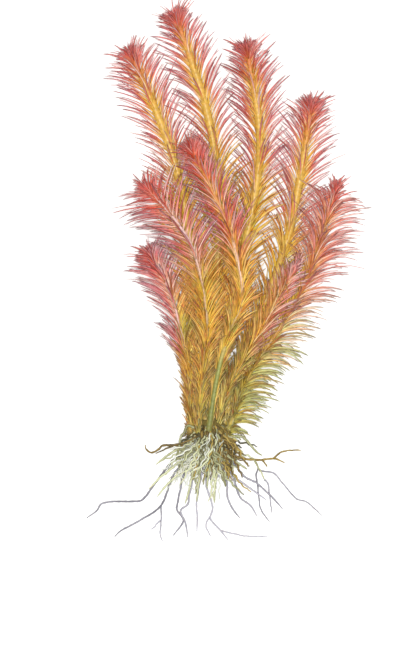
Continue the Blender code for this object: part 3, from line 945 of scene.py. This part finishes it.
        drift = (HABIT.drift + HABIT.loose_drift * loose) * self.rng.normal(0.0, 1.0, total) * length
        sideways = drift[:, None] * LEAF_SECTIONS**2
        seat = self.path.at(distance) + HABIT.seat * radius[:, None] * outward
        centre = (
            seat[:, None]
            + forwards[..., None] * along[:, None]
            + outwards[..., None] * outward[:, None]
            + sideways[..., None] * across[:, None]
        )
        return above_floor(centre), across

    def blades(
        self, centre: np.ndarray, across: np.ndarray, below: np.ndarray
    ) -> tuple[np.ndarray, list[np.ndarray]]:
        """Wrap middle lines in flattened diamonds, widest a third of the way along, up to a point.

        A diamond's corners are centre + and - half width * flat, and centre + and - half thickness *
        thick. Flat is the direction across made square to the line, and both are turned by a twist.

        Args:
            centre: Places of the sections of each leaf.
            across: Direction across each leaf.
            below: Distance of each leaf below the top.

        Returns:
            Points, the sections first and then the leaf points, and the face arrays.
        """
        total = len(centre)
        tangent = unit(np.gradient(centre, axis=1))
        across = across[:, None]
        flat = unit(across - (across * tangent).sum(-1, keepdims=True) * tangent)
        thick = np.cross(tangent, flat)
        twist = self.rng.uniform(-HABIT.twist, HABIT.twist, total)[:, None, None]
        turned = np.cos(twist) * flat + np.sin(twist) * thick
        thick = np.cos(twist) * thick - np.sin(twist) * flat
        size = np.interp(below, *LEAF_SIZES)[:, None]
        shape = np.interp(LEAF_SECTIONS, *LEAF_SHAPE)
        half = 0.5 * self.leaf_width * size * shape * self.rng.uniform(*HABIT.widths, total)[:, None]
        flat = turned * half[..., None]
        thick = thick * half[..., None] * self.leaf_thickness
        corners = np.stack([flat, thick, -flat, -thick], axis=2)
        sections = (centre[:, :, None] + corners)[:, :-1]
        points = np.concatenate([sections.reshape(-1, 3), centre[:, -1]])
        points[:, 2] = np.maximum(points[:, 2], FLOOR_GAP)
        grid = np.arange(sections.size // 3).reshape(sections.shape[:3])
        point = (grid.size + np.arange(total))[:, None]
        return points, [bands(grid), grid[:, 0, ::-1], fans(grid[:, -1], point)]

    def leaf_values(self, distance: np.ndarray, tips: np.ndarray) -> dict[str, np.ndarray]:
        """Numbers that colour the leaves: run along each one, age, tone, green, low and edge.

        Args:
            distance: Distances of the leaves along the axis.
            tips: Places of the leaf points.

        Returns:
            One value a point by name, in the order that blades gives them.
        """
        total, rings = len(distance), len(LEAF_SECTIONS) - 1
        age = (self.path.length - distance) / OLD_AGE + SHADE_AGE * self.shade(tips)
        age = age + CROWN_AGE * portion(distance, *CROWN_AGED)
        age = np.clip(age + self.rng.normal(0.0, HABIT.age_scatter, total), 0.0, 1.0)
        tone = self.rng.random(total)
        green = self.greenness(tips)
        low = portion(distance, *LOW_LEAVES) * self.rng.uniform(0.3, 1.15, total)
        low = np.clip(low * (1.0 - 0.5 * green) * np.interp(tips[:, 0], *LOW_GREEN), 0.0, 1.0)
        values = {"age": age, "tone": tone, "green": green, "low": low}
        values = {key: np.concatenate([np.repeat(v, 4 * rings), v]) for key, v in values.items()}
        run = np.tile(np.repeat(LEAF_SECTIONS[:-1], 4), total)
        values["run"] = np.concatenate([run, np.ones(total)])
        values["edge"] = np.concatenate([np.tile(CORNER_EDGES, total * rings), np.full(total, POINT_EDGE)])
        return values

    def leaves(self, name: str, whorls: np.ndarray, count: int) -> bpy.types.Object:
        """Build single leaves on the given whorls, each an arched four-sided needle.

        Args:
            name: Name of the piece.
            whorls: Distances of the whorls along the axis.
            count: Leaves to a whorl.

        Returns:
            The piece with all of these leaves.
        """
        distance, azimuth = self.leaf_seats(whorls, count)
        centre, across = self.leaf_lines(distance, azimuth)
        points, faces = self.blades(centre, across, self.path.length - distance)
        values = self.leaf_values(distance, centre[:, -1])
        return build_mesh(name, points, faces, MATERIALS[LEAF_FINISHES[self.look].name], values)

    def shade(self, tips: np.ndarray) -> np.ndarray:
        """How far inside the bunch leaf points lie, where leaves grow shaded and turn gold early.

        It grows from none at the shoot's own height to full 40 mm lower, and from the bunch's left
        and right outlines over 10 mm inwards.

        Args:
            tips: Places of the leaf points.

        Returns:
            A share from 0 in the open to 1 inside.
        """
        x, y = tips[:, 0], tips[:, 1]
        left, right = np.interp(y, *LEFT_OUTLINE), np.interp(y, *RIGHT_OUTLINE)
        lower = portion(y, self.shaded_from, self.shaded_from - 40.0)
        return lower * (portion(x - left, 4.0, 14.0) * portion(right - 10.0 - x, 0.0, 10.0))

    def greenness(self, tips: np.ndarray) -> np.ndarray:
        """How green leaves are by where their points lie: most at the lower right of the bunch.

        Args:
            tips: Places of the leaf points.

        Returns:
            A share from 0 to 0.9.
        """
        lower = portion(tips[:, 1], -4.0, -34.0)
        side = portion(tips[:, 0] - np.interp(tips[:, 1], *RIGHT_OUTLINE), -15.0, 0.0)
        return np.clip(lower * side * self.rng.uniform(0.1, 1.3, len(tips)), 0.0, 0.9)

    def build(self) -> None:
        """Build and dress the stem, the grown leaves and the tuft, and put them for their solids."""
        whorls = self.whorl_places()
        in_tuft = self.path.length - whorls < TIP_LENGTH
        stem = self.stem()
        leaves = self.leaves(f"leaves_{self.number}", whorls[~in_tuft], self.leaves_to_whorl)
        tuft = self.leaves(f"tuft_{self.number}", whorls[in_tuft], self.tuft_leaves)
        for piece, slot in ((stem, "leafy_stem"), (leaves, "leafy_stem"), (tuft, "growing_tip")):
            place(piece, slot, f"{slot}_{self.number}")


@dataclass
class RootSet:
    """All roots of one kind, each a slightly uneven tapering tube that ends in a point.

    The branches give the root that a numbered one grows from. The tones are the roots' own shades,
    and amber ones have the amber skin. The wander is how far a root strays from its route, and the
    painted flank shade how much painted light a root gets on top and underneath and painted shade
    along its flanks.
    """

    kind: str
    finish: RootFinish
    routes: tuple
    radii: tuple[float, float]
    branches: dict[int, str]
    tones: tuple[float, ...]
    amber: tuple[int, ...] = ()
    spacing: float = 0.8
    wander: float = 0.4
    # Painted light on top and underneath of every root, and painted shade along its flanks
    painted_flank_shade: float = 0.5
    sides: int = 8

    def path(self, route: tuple, parent: str | None, paths: dict[str, Path]) -> Path:
        """Lead a route on into the crown, or start it on the middle line of the root it grows from.

        Args:
            route: Points of the route outwards.
            parent: Node of the root that it branches off, if any.
            paths: Paths of the roots built so far.

        Returns:
            The path of the whole root.
        """
        if parent:
            return Path((tuple(paths[parent].nearest(route[0])),) + route[1:])
        return Path((into_crown(route[0], min(route[0][1] + 5.0, -70.5)),) + route)

    def build(self, paths: dict[str, Path]) -> None:
        """Build and dress every root of the set.

        A root's middle line is its path plus a random walk that is tied down at both ends. Its
        radius tapers along it and swells a little by a sine, and a branch is thinner.

        Args:
            paths: Paths of the roots built so far, by node name, to which these are added.
        """
        rng = np.random.default_rng(SEED + len(self.routes) + self.sides)
        for number, route in enumerate(self.routes, start=1):
            name = f"{self.kind}_{number:02d}"
            parent = self.branches.get(number)
            path = paths[name] = self.path(route, parent, paths)
            girth = 0.7 if parent else 1.0
            count = max(int(path.length / self.spacing), 6)
            share = np.linspace(0.0, 1.0, count)
            wave = np.cumsum(rng.normal(0.0, 1.0, (count, 3)), axis=0)
            wave -= share[:, None] * wave[-1]
            centre = path.at(share * path.length)
            centre = centre + self.wander * wave / math.sqrt(count) * np.sin(math.pi * share)[:, None] * 1.5
            radius = girth * np.interp(share, (0.0, 0.9, 1.0), (*self.radii, 0.5 * self.radii[1]))
            radius = radius * (1.0 + 0.12 * np.sin(share * path.length * 2.1 + rng.uniform(0.0, 6.0)))
            centre[:, 2] = np.maximum(centre[:, 2], radius + 0.03)
            points, faces = tube_mesh(centre[None], radius[None], self.sides)
            tone = self.tones[number - 1] + 0.15 * share[None]
            finish = AMBER_SKIN if number in self.amber else self.finish
            # Tone with painted light on top and painted shade along the flanks of the root
            piece = build_mesh(
                name.replace("root", "root_skin"), points, faces, MATERIALS[finish.name],
                {"tone": ring_values(tone, self.sides, self.painted_flank_shade)},
            )
            place(piece, self.kind, name)


@dataclass
class Crown:
    """The ribbed knot that the stems leave, and the crowded short roots that grow from it.

    The short lengths are the shortest and the longest root, and the short radii those at its start,
    over most of it and at its point. The wave is the sideways winding of a root.
    """

    rings: tuple
    around: int = 120
    down: int = 60
    ribs: int = 15
    rib_depth: float = 0.09
    knot_tone: float = 0.35
    short_roots: int = 240
    short_steps: int = 20
    short_sides: int = 8
    short_lengths: tuple[float, float] = (7.0, 27.0)
    short_radii: tuple[float, float, float] = (0.5, 0.38, 0.2)
    # Painted light on top and underneath of every short root, and painted shade along its flanks
    short_painted_flank_shade: float = 0.55
    wave_length: float = 4.6
    wave_height: float = 0.6

    def girth(self, y: np.ndarray) -> list[np.ndarray]:
        """Middle in X and half sizes in X and Z of the knot at places along Y, between its rings."""
        table = np.array(self.rings)
        return [np.interp(-y, -table[:, 0], table[:, k]) for k in (1, 2, 3)]

    def knot(self) -> bpy.types.Object:
        """Build the knot: ellipses whose size is 1 + depth * cos(ribs * a + bend), plus a little noise.

        The bend is 6 * (0.35 * sin(3 * a + 1) + 0.02 * way down), so the ribs lean and stand unevenly.

        Returns:
            The knot.
        """
        rng = np.random.default_rng(SEED)
        y = np.linspace(self.rings[0][0], self.rings[-1][0], self.down)
        middle, half_x, half_z = self.girth(y)
        angle = ring_angles(self.around)
        lean = 0.35 * np.sin(3.0 * angle + 1.0)[None] + 0.02 * (y - y[0])[:, None]
        size = 1.0 + self.rib_depth * np.cos(self.ribs * angle[None] + 6.0 * lean)
        size = size + rng.normal(0.0, 0.008, size.shape)
        x = middle[:, None] + half_x[:, None] * size * np.cos(angle)
        z = CROWN_HEIGHT + half_z[:, None] * size * np.sin(angle)
        rings = np.stack([x, np.broadcast_to(y[:, None], x.shape), z], axis=-1)
        rings[..., 2] = np.maximum(rings[..., 2], FLOOR_GAP)
        poles = np.stack([rings[0].mean(axis=0), rings[-1].mean(axis=0)])
        points = np.concatenate([rings.reshape(-1, 3), poles])
        tone = np.full(len(points), self.knot_tone)
        faces = tube_faces(1, self.down, self.around)
        return build_mesh("crown_knot", points, faces, MATERIALS[CROWN_TISSUE.name], {"tone": tone})

    def roots(self) -> list[bpy.types.Object]:
        """Build the short roots: random walks from the knot that fan out, droop and taper.

        Each step's heading is the first one plus a running sum of random turns and a small droop.
        The whole root also winds sideways by a sine that is tied down at both ends.

        Returns:
            One piece of olive roots, one of pale ones and one of amber ones.
        """
        rng = np.random.default_rng(SEED + 5)
        count, steps = self.short_roots, self.short_steps
        y = rng.uniform(-81.0, -68.0, count)
        middle, half_x, half_z = self.girth(y)
        swing = np.where(y > -71.5, 0.35, 0.7) * rng.uniform(-1.0, 1.0, count)
        angle = math.pi * (0.5 + swing)
        x = middle + 0.85 * half_x * np.cos(angle)
        z = CROWN_HEIGHT + 1.1 * half_z * np.sin(angle)
        start = np.stack([x, y, z], axis=1)
        heading = np.stack([0.75 * np.cos(angle) + 0.16, np.full(count, -1.0), 0.5 * np.sin(angle)], axis=1)
        heading = unit(heading + rng.normal(0.0, 0.2, (count, 3)))
        shortest, longest = self.short_lengths
        length = (shortest + (longest - shortest) * rng.random(count) ** 1.9) / steps
        turn = rng.normal(0.0, 0.25, (count, steps, 3)) + np.array((0.0, -0.03, -0.075))
        headings = heading[:, None] + np.cumsum(turn, axis=1)
        headings[..., 1] = np.minimum(headings[..., 1], -0.5)
        moves = unit(headings) * length[:, None, None]
        walk = np.cumsum(np.concatenate([np.zeros((count, 1, 3)), moves], axis=1), axis=1)
        centre = start[:, None] + walk
        share = np.linspace(0.0, 1.0, steps + 1)
        across = unit(np.cross(heading, UP))[:, None]
        waves = 2.0 * math.pi * share * (length * steps / self.wave_length)[:, None]
        wave = np.sin(waves + rng.uniform(0.0, 6.0, count)[:, None])
        centre = centre + (self.wave_height * wave * np.sin(math.pi * share))[..., None] * across
        pale_share = np.where(start[:, 0] < -9.0, 0.65, 0.26) * portion(y, -70.0, -74.0)
        pale = rng.random(count) < pale_share
        radius = np.interp(share, (0.0, 0.75, 1.0), self.short_radii)
        radius = radius * (rng.uniform(0.75, 1.2, count) * np.where(pale, 0.72, 1.0))[:, None]
        centre = above_floor(centre, 1.6, 0.6)
        tone = rng.random(count)[:, None] * 0.8 - 0.15 + 0.5 * portion(centre[..., 1], -74.0, -88.0)
        tone = tone - np.where(pale, 0.05, 0.35)[:, None] * share**2
        amber = rng.random(count) < np.where((start[:, 0] > -5.0) | (y > -71.5), 0.5, 0.0)
        pale = pale & ~amber
        pieces = []
        for name, chosen, finish in (
            ("short_roots_olive", ~pale & ~amber, FLESHY_SKIN),
            ("short_roots_pale", pale, PALE_SKIN),
            ("short_roots_amber", amber, AMBER_SKIN),
        ):
            points, faces = tube_mesh(centre[chosen], radius[chosen], self.short_sides)
            # Tone with painted light on top and painted shade along the flanks of each root
            values = {"tone": ring_values(tone[chosen], self.short_sides, self.short_painted_flank_shade)}
            pieces.append(build_mesh(name, points, faces, MATERIALS[finish.name], values))
        return pieces

    def build(self) -> None:
        """Build and dress the knot and its short roots, and put them for the crown's solid."""
        for piece in [self.knot()] + self.roots():
            place(piece, "root_crown", "root_crown")


def place(piece: bpy.types.Object, slot: str, node: str) -> None:
    """Let a piece ride with the bunch and stand for a node, whose solid is hidden.

    Args:
        piece: The finished piece.
        slot: The record's material slot; not used.
        node: The solid that it replaces.
    """
    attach(piece, "root")
    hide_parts(node)
    LOG.info("%s: %d faces, for %s", piece.name, len(piece.data.polygons), node)


@dataclass
class Studio:
    """Pale floor, soft light from all round and one large soft lamp, and the camera above.

    The focus height is that of the leaves, in millimetres. The lamp's size and its height over the
    camera are in metres.
    """

    lens: float = 150.0
    film: float = 36.0
    focus_height: float = 9.0
    floor_half: float = 1500.0
    sky: float = 0.47
    lamp_power: float = 16.5
    lamp_size: float = 0.12
    lamp_gap: float = 0.03

    def eye(self) -> tuple[float, float, float]:
        """Work out from where the photograph's frame fills the view at leaf height.

        Returns:
            The camera's place in metres.
        """
        height = IMAGE_SIZE[1] * PIXEL * self.lens / self.film + self.focus_height
        centre_x = (IMAGE_SIZE[0] / 2 - ORIGIN_PIXEL[0]) * PIXEL
        centre_y = (ORIGIN_PIXEL[1] - IMAGE_SIZE[1] / 2) * PIXEL
        return centre_x * MM, centre_y * MM, height * MM

    def floor(self) -> None:
        """Lay a wide floor of matt pale paper under the bunch."""
        material = bpy.data.materials.new("pale_paper")
        material.use_nodes = True
        shader = material.node_tree.nodes["Principled BSDF"]
        shader.inputs["Base Color"].default_value = linear("FAFAF8")
        shader.inputs["Roughness"].default_value = 0.9
        shader.inputs["Specular IOR Level"].default_value = 0.1
        side = self.floor_half
        corners = np.array([(-side, -side, 0.0), (side, -side, 0.0), (side, side, 0.0), (-side, side, 0.0)])
        build_mesh("floor", corners, [np.array([(0, 1, 2, 3)])], material)

    def light(self) -> None:
        """Light the bunch evenly from all round, and by a round soft box straight above it."""
        world = bpy.data.worlds.new("soft_white_room")
        world.use_nodes = True
        background = world.node_tree.nodes["Background"]
        background.inputs["Color"].default_value = (1.0, 1.0, 1.0, 1.0)
        background.inputs["Strength"].default_value = self.sky
        bpy.context.scene.world = world
        lamp = bpy.data.lights.new("soft_box", "AREA")
        lamp.shape = "DISK"
        lamp.size = self.lamp_size
        lamp.energy = self.lamp_power
        key = bpy.data.objects.new("soft_box", lamp)
        x, y, z = self.eye()
        key.location = (x, y, z + self.lamp_gap)
        bpy.context.scene.collection.objects.link(key)

    def camera(self) -> None:
        """Look straight down with the photograph's frame filling the view at leaf height."""
        data = bpy.data.cameras.new("camera")
        data.lens = self.lens
        data.sensor_width = self.film
        data.clip_start = 0.01
        data.clip_end = 20.0
        camera = bpy.data.objects.new("camera", data)
        camera.location = self.eye()
        bpy.context.scene.collection.objects.link(camera)
        bpy.context.scene.camera = camera

    def build(self) -> None:
        """Set up floor, light, camera and plain colour handling."""
        self.floor()
        self.light()
        self.camera()
        bpy.context.scene.view_settings.view_transform = "Standard"
        bpy.context.scene.view_settings.look = "None"


# The long shoots at the back from left to right, then the shorter ones in front of them
SHOOTS = (
    Shoot(
        1,
        ((-13.5, -68, 4.5), (-12.6, -38.7, 8), (-15.3, 6.3, 9), (-21.6, 44.6, 9), (-32, 74.7, 9),
         (-44.6, 102.6, 8.5)),
        spread=1.04, opening=1.5, stray=1.6, leaves_to_whorl=9, shaded_from=68.0,
    ),
    Shoot(
        2,
        ((-9.5, -68, 4.5), (-5.4, -34.2, 7.5), (-3.2, 31.1, 9), (-6.8, 64.8, 9), (-14.9, 94.1, 9),
         (-24.1, 119.6, 8.5)),
        spread=0.97, leaves_to_whorl=9, shaded_from=68.0,
    ),
    Shoot(
        3,
        ((-5.5, -68, 4.5), (-1.4, -34.2, 7.5), (5.9, 1.8, 9), (12.6, 33.3, 9), (15.3, 62.6, 9),
         (8.8, 105.4, 8.5)),
        shaded_from=52.0,
    ),
    Shoot(
        4,
        ((-1, -68, 4.5), (8.1, -36.5, 7.5), (25.2, 7.2, 9), (32.4, 37.8, 9), (39.3, 80.2, 8.5)),
        leaves_to_whorl=9, cover=0.42,
    ),
    Shoot(
        5,
        ((2.5, -68, 8.5), (9.5, -46.8, 8.5), (24.8, -23, 9), (38.7, 4, 9), (50.5, 42.2, 8)),
        look=LeafLook.OLIVE, spread=1.2, tip_spread=0.45, opening=1.25, base_zone=68.0, base_spread=0.94,
        base_rise=0.15, open_right=True, bend=32.0, leaves_to_whorl=18, cover=0.6, base_cover=0.94,
        crest_cover=0.65, leaf_width=0.84, whorl_spread=1.25, stem_base=1.25, stem_top=0.6,
    ),
    Shoot(
        6,
        ((-7.5, -68, 12.5), (-2.3, -38.7, 16), (6.9, -11.7, 20), (5, 6, 21.5), (-1.4, 26.6, 22),
         (-17.8, 59.8, 21)),
        look=LeafLook.AMBER, spread=0.84, bare=44.0, cover=0.45, stem_base=1.05, stem_top=0.9,
        shaded_from=46.0,
    ),
    Shoot(
        7,
        ((-12.5, -68, 12.5), (-10.2, -42, 15), (-8.6, -20.7, 17.5), (-12.6, 4, 19), (-20.7, 21.2, 18.5),
         (-37.8, 41, 14)),
        look=LeafLook.ROSY, spread=1.3, opening=1.4, stray=2.5, cover=0.3, stem_base=1.0, stem_top=0.6,
    ),
    Shoot(
        8,
        ((-16, -68, 8.5), (-16.2, -45.5, 11), (-19, -32, 12), (-24.4, -9.9, 12), (-35.8, 13, 10.5)),
        look=LeafLook.ROSY, spread=1.08, base_zone=68.0, leaves_to_whorl=15, tuft_leaves=30,
        leaf_width=0.78, stem_base=1.0, stem_top=0.6,
    ),
    Shoot(
        9,
        ((-3.5, -68, 8.5), (0.8, -52, 12), (17.5, -22, 15.5), (33.3, 7.2, 17)),
        look=LeafLook.OLIVE, spread=0.7, tip_spread=0.32, base_zone=68.0, base_spread=0.25, cover=1.0,
        leaf_width=0.9, whorl_spread=1.2, stem_base=0.9, stem_top=0.5,
    ),
)

# Routes of the roots outwards from the crown, or from the root that a branch grows from
FLESHY_ROUTES = (
    ((-18, -76.5, 6.5), (-22, -77, 5), (-28.4, -77, 3.6), (-30.6, -79.2, 2.8), (-33.8, -80.6, 2),
     (-36.2, -79, 1.4), (-36.5, -77.2, 1.2)),
    ((-17, -68, 11), (-19, -70.8, 11.5), (-20.9, -73, 11), (-21.4, -78.3, 8), (-22.6, -83, 5.5)),
    ((-16, -79, 7), (-22.5, -79.5, 5), (-27, -82.6, 3.2), (-31.5, -86, 1.6)),
    ((1, -73.5, 11.5), (6.3, -73.2, 10.5), (10.4, -77.2, 8), (13.5, -80.2, 6), (16.2, -81.8, 4.8)),
    ((0, -79, 7), (5.9, -82.6, 4.2), (11.3, -83.7, 2.6), (15.8, -83.9, 1.9), (22.1, -83.5, 1.2),
     (26.6, -85.3, 0.9)),
    ((21.6, -83.5, 1.2), (23.6, -81.2, 1.9), (25.2, -80.1, 2), (28.8, -79.5, 1.6), (34.2, -79.7, 0.8)),
    ((12.8, -83.8, 2.2), (14.9, -88.6, 1.3), (17.6, -93.2, 0.8)),
    ((1, -76, 9.5), (4.8, -78, 8.5), (7, -81, 7)),
    ((-0.5, -80.5, 8.5), (4.5, -84.5, 6.8), (9.5, -88, 5.4)),
    ((-15.5, -80.5, 5), (-22.5, -86, 3.8), (-29, -91.5, 2.6), (-34.7, -97, 1.2)),
    ((-14.5, -81, 8), (-19.5, -87.5, 6), (-25.5, -93.5, 4.2), (-31, -100.5, 2.6)),
    ((-12.5, -81, 11), (-14.5, -88, 10), (-16, -96, 7), (-18.4, -103.5, 4.8)),
    ((-9.8, -81.4, 12), (-11.5, -88, 10.6), (-12.4, -96, 8), (-13.2, -102.5, 5.6)),
    ((-6.8, -81.4, 12), (-7.6, -87, 11), (-8.2, -92, 9.5), (-8.5, -96.5, 8)),
    ((-4, -81.2, 11), (-4.2, -88, 9.8), (-5.2, -96, 7), (-5, -102.3, 4.8)),
    ((-2, -80.8, 10), (-1.2, -85, 9.2), (0.8, -89, 7.6), (1.2, -92.8, 6.2)),
    ((16.2, -83.7, 1.9), (17.9, -84.9, 1.5), (18.7, -87.3, 1)),
    ((7.6, -83.1, 3.6), (9, -85.4, 2.8), (10.1, -87.3, 2.2)),
)

FINE_ROUTES = (
    ((-15.6, -80, 2.4), (-23.9, -84.5, 1.1), (-32.9, -95.4, 0.5), (-37.8, -101.7, 0.4),
     (-43.2, -102.6, 0.4), (-55.4, -103.5, 0.4), (-58.5, -107.1, 0.4), (-63, -110.3, 0.4)),
    ((-13.9, -80.8, 2.4), (-20.5, -86.5, 0.8), (-24.6, -92, 0.4), (-27.5, -100.8, 0.4),
     (-29.7, -105.3, 0.4), (-34.7, -109.4, 0.4), (-46.8, -115.7, 0.4), (-50.4, -118.8, 0.4)),
    ((-29.4, -104.9, 0.4), (-29.5, -112.5, 0.4), (-29.7, -117.9, 0.4), (-28.6, -121.1, 0.4)),
    ((-12.3, -81.6, 2.4), (-16.5, -86, 0.7), (-19.8, -92, 0.4), (-21.6, -101.7, 0.4),
     (-22.1, -106.7, 0.4), (-19.4, -111.6, 0.4), (-23.9, -118.4, 0.4)),
    ((-11.2, -82, 2.4), (-14, -89, 0.5), (-16.3, -98.6, 0.5), (-17.2, -104, 0.9),
     (-20.5, -107, 1.5), (-18.4, -112.5, 1.5), (-17.2, -119.2, 0.4)),
    ((-9, -82, 2.4), (-11.3, -91, 0.4), (-13.1, -103, 0.4), (-12.9, -110, 0.4), (-13.1, -116.6, 0.4)),
    ((-7.6, -82, 2.4), (-9, -94, 0.4), (-6.1, -104.9, 0.4), (-7.2, -110.3, 0.4),
     (-2.7, -115.7, 0.4), (0.9, -120.2, 0.4)),
    ((-7.2, -110, 0.4), (-8.9, -114, 0.4), (-6.8, -118.8, 0.4)),
    ((-2.4, -116, 0.4), (7.2, -118.4, 0.4), (18.9, -118.8, 0.4)),
    ((-4.8, -82, 2.4), (-1.2, -89, 0.4), (0.2, -94.5, 0.4), (0.9, -100.8, 0.4),
     (3.2, -106.2, 0.4), (6.3, -110.3, 0.4)),
    ((-3.4, -81.6, 2.4), (2.2, -89, 0.4), (4.3, -94.4, 0.4), (6.3, -100.8, 0.4),
     (11.3, -104.9, 0.4), (14, -109.4, 0.4)),
    ((14.6, -88, 1.4), (13.9, -91, 0.4), (14.9, -96, 0.4), (15.3, -99.9, 0.4),
     (15.8, -106.2, 0.4), (19.8, -112.1, 0.4)),
    ((17.6, -93, 0.8), (19.4, -95, 0.4), (19.8, -99.9, 0.4), (20.7, -108, 0.4)),
    ((-2, -81, 2.4), (3.8, -86.4, 0.9), (8.1, -91.4, 1.3), (13.5, -94.2, 1.7),
     (18.9, -98.6, 1.7), (25.7, -106.2, 0.4)),
    ((-6.2, -82, 2.4), (-5.8, -88, 1.3), (-3.2, -91.6, 1.6), (3.2, -92.2, 1.6),
     (11.3, -97.2, 1.7), (18.2, -102, 1.7)),
    ((15, -89, 1.2), (17.6, -89.2, 0.5), (22.1, -90, 0.4), (26.6, -95.4, 0.4),
     (31.5, -101.3, 0.4), (36.9, -103.1, 0.4), (43.7, -109.4, 0.4)),
    ((-29.5, -111.5, 0.4), (-31.6, -113.2, 0.4), (-34, -115.6, 0.4)),
)

# The fleshy roots come first, because fine ones branch off them
ROOT_SETS = (
    RootSet(
        "fleshy_root", FLESHY_SKIN, FLESHY_ROUTES, radii=(0.68, 0.42),
        branches={6: "fleshy_root_05", 7: "fleshy_root_05", 17: "fleshy_root_05", 18: "fleshy_root_05"},
        tones=(
            0.15, 0.25, 0.4, 0.35, 0.35, 0.35, 0.3, 0.4, 0.4, 0.6, 0.6, 0.5, 0.45, 0.4, 0.45, 0.4, 0.3, 0.3,
        ),
        amber=(1, 5, 6, 8, 16, 17, 18),
    ),
    RootSet(
        "fine_root", FINE_SKIN, FINE_ROUTES, radii=(0.54, 0.4),
        branches={
            3: "fine_root_02", 8: "fine_root_07", 9: "fine_root_07", 12: "fleshy_root_07",
            13: "fleshy_root_07", 16: "fleshy_root_07", 17: "fine_root_03",
        },
        tones=(
            0.2, 0.2, 0.5, 0.35, 0.5, 0.9, 0.8, 0.9, 0.95, 0.4, 0.4, 0.25, 0.5, 0.4, 0.75, 0.4, 0.9,
        ),
        spacing=1.0, sides=6,
    ),
)


def main() -> None:
    """Build the studio, the finishes, the shoots, the crown and the roots, and note the sizes."""
    logging.basicConfig(level=logging.INFO, format="%(message)s")
    Studio().build()
    skins = (FLESHY_SKIN, PALE_SKIN, AMBER_SKIN, FINE_SKIN, CROWN_TISSUE)
    for finish in (*LEAF_FINISHES.values(), *STEM_FINISHES.values(), *skins):
        MATERIALS[finish.name] = finish.material()
    for shoot in SHOOTS:
        shoot.build()
    Crown(CROWN_RINGS).build()
    paths: dict[str, Path] = {}
    for roots in ROOT_SETS:
        roots.build(paths)


if __name__ == "__main__":
    main()
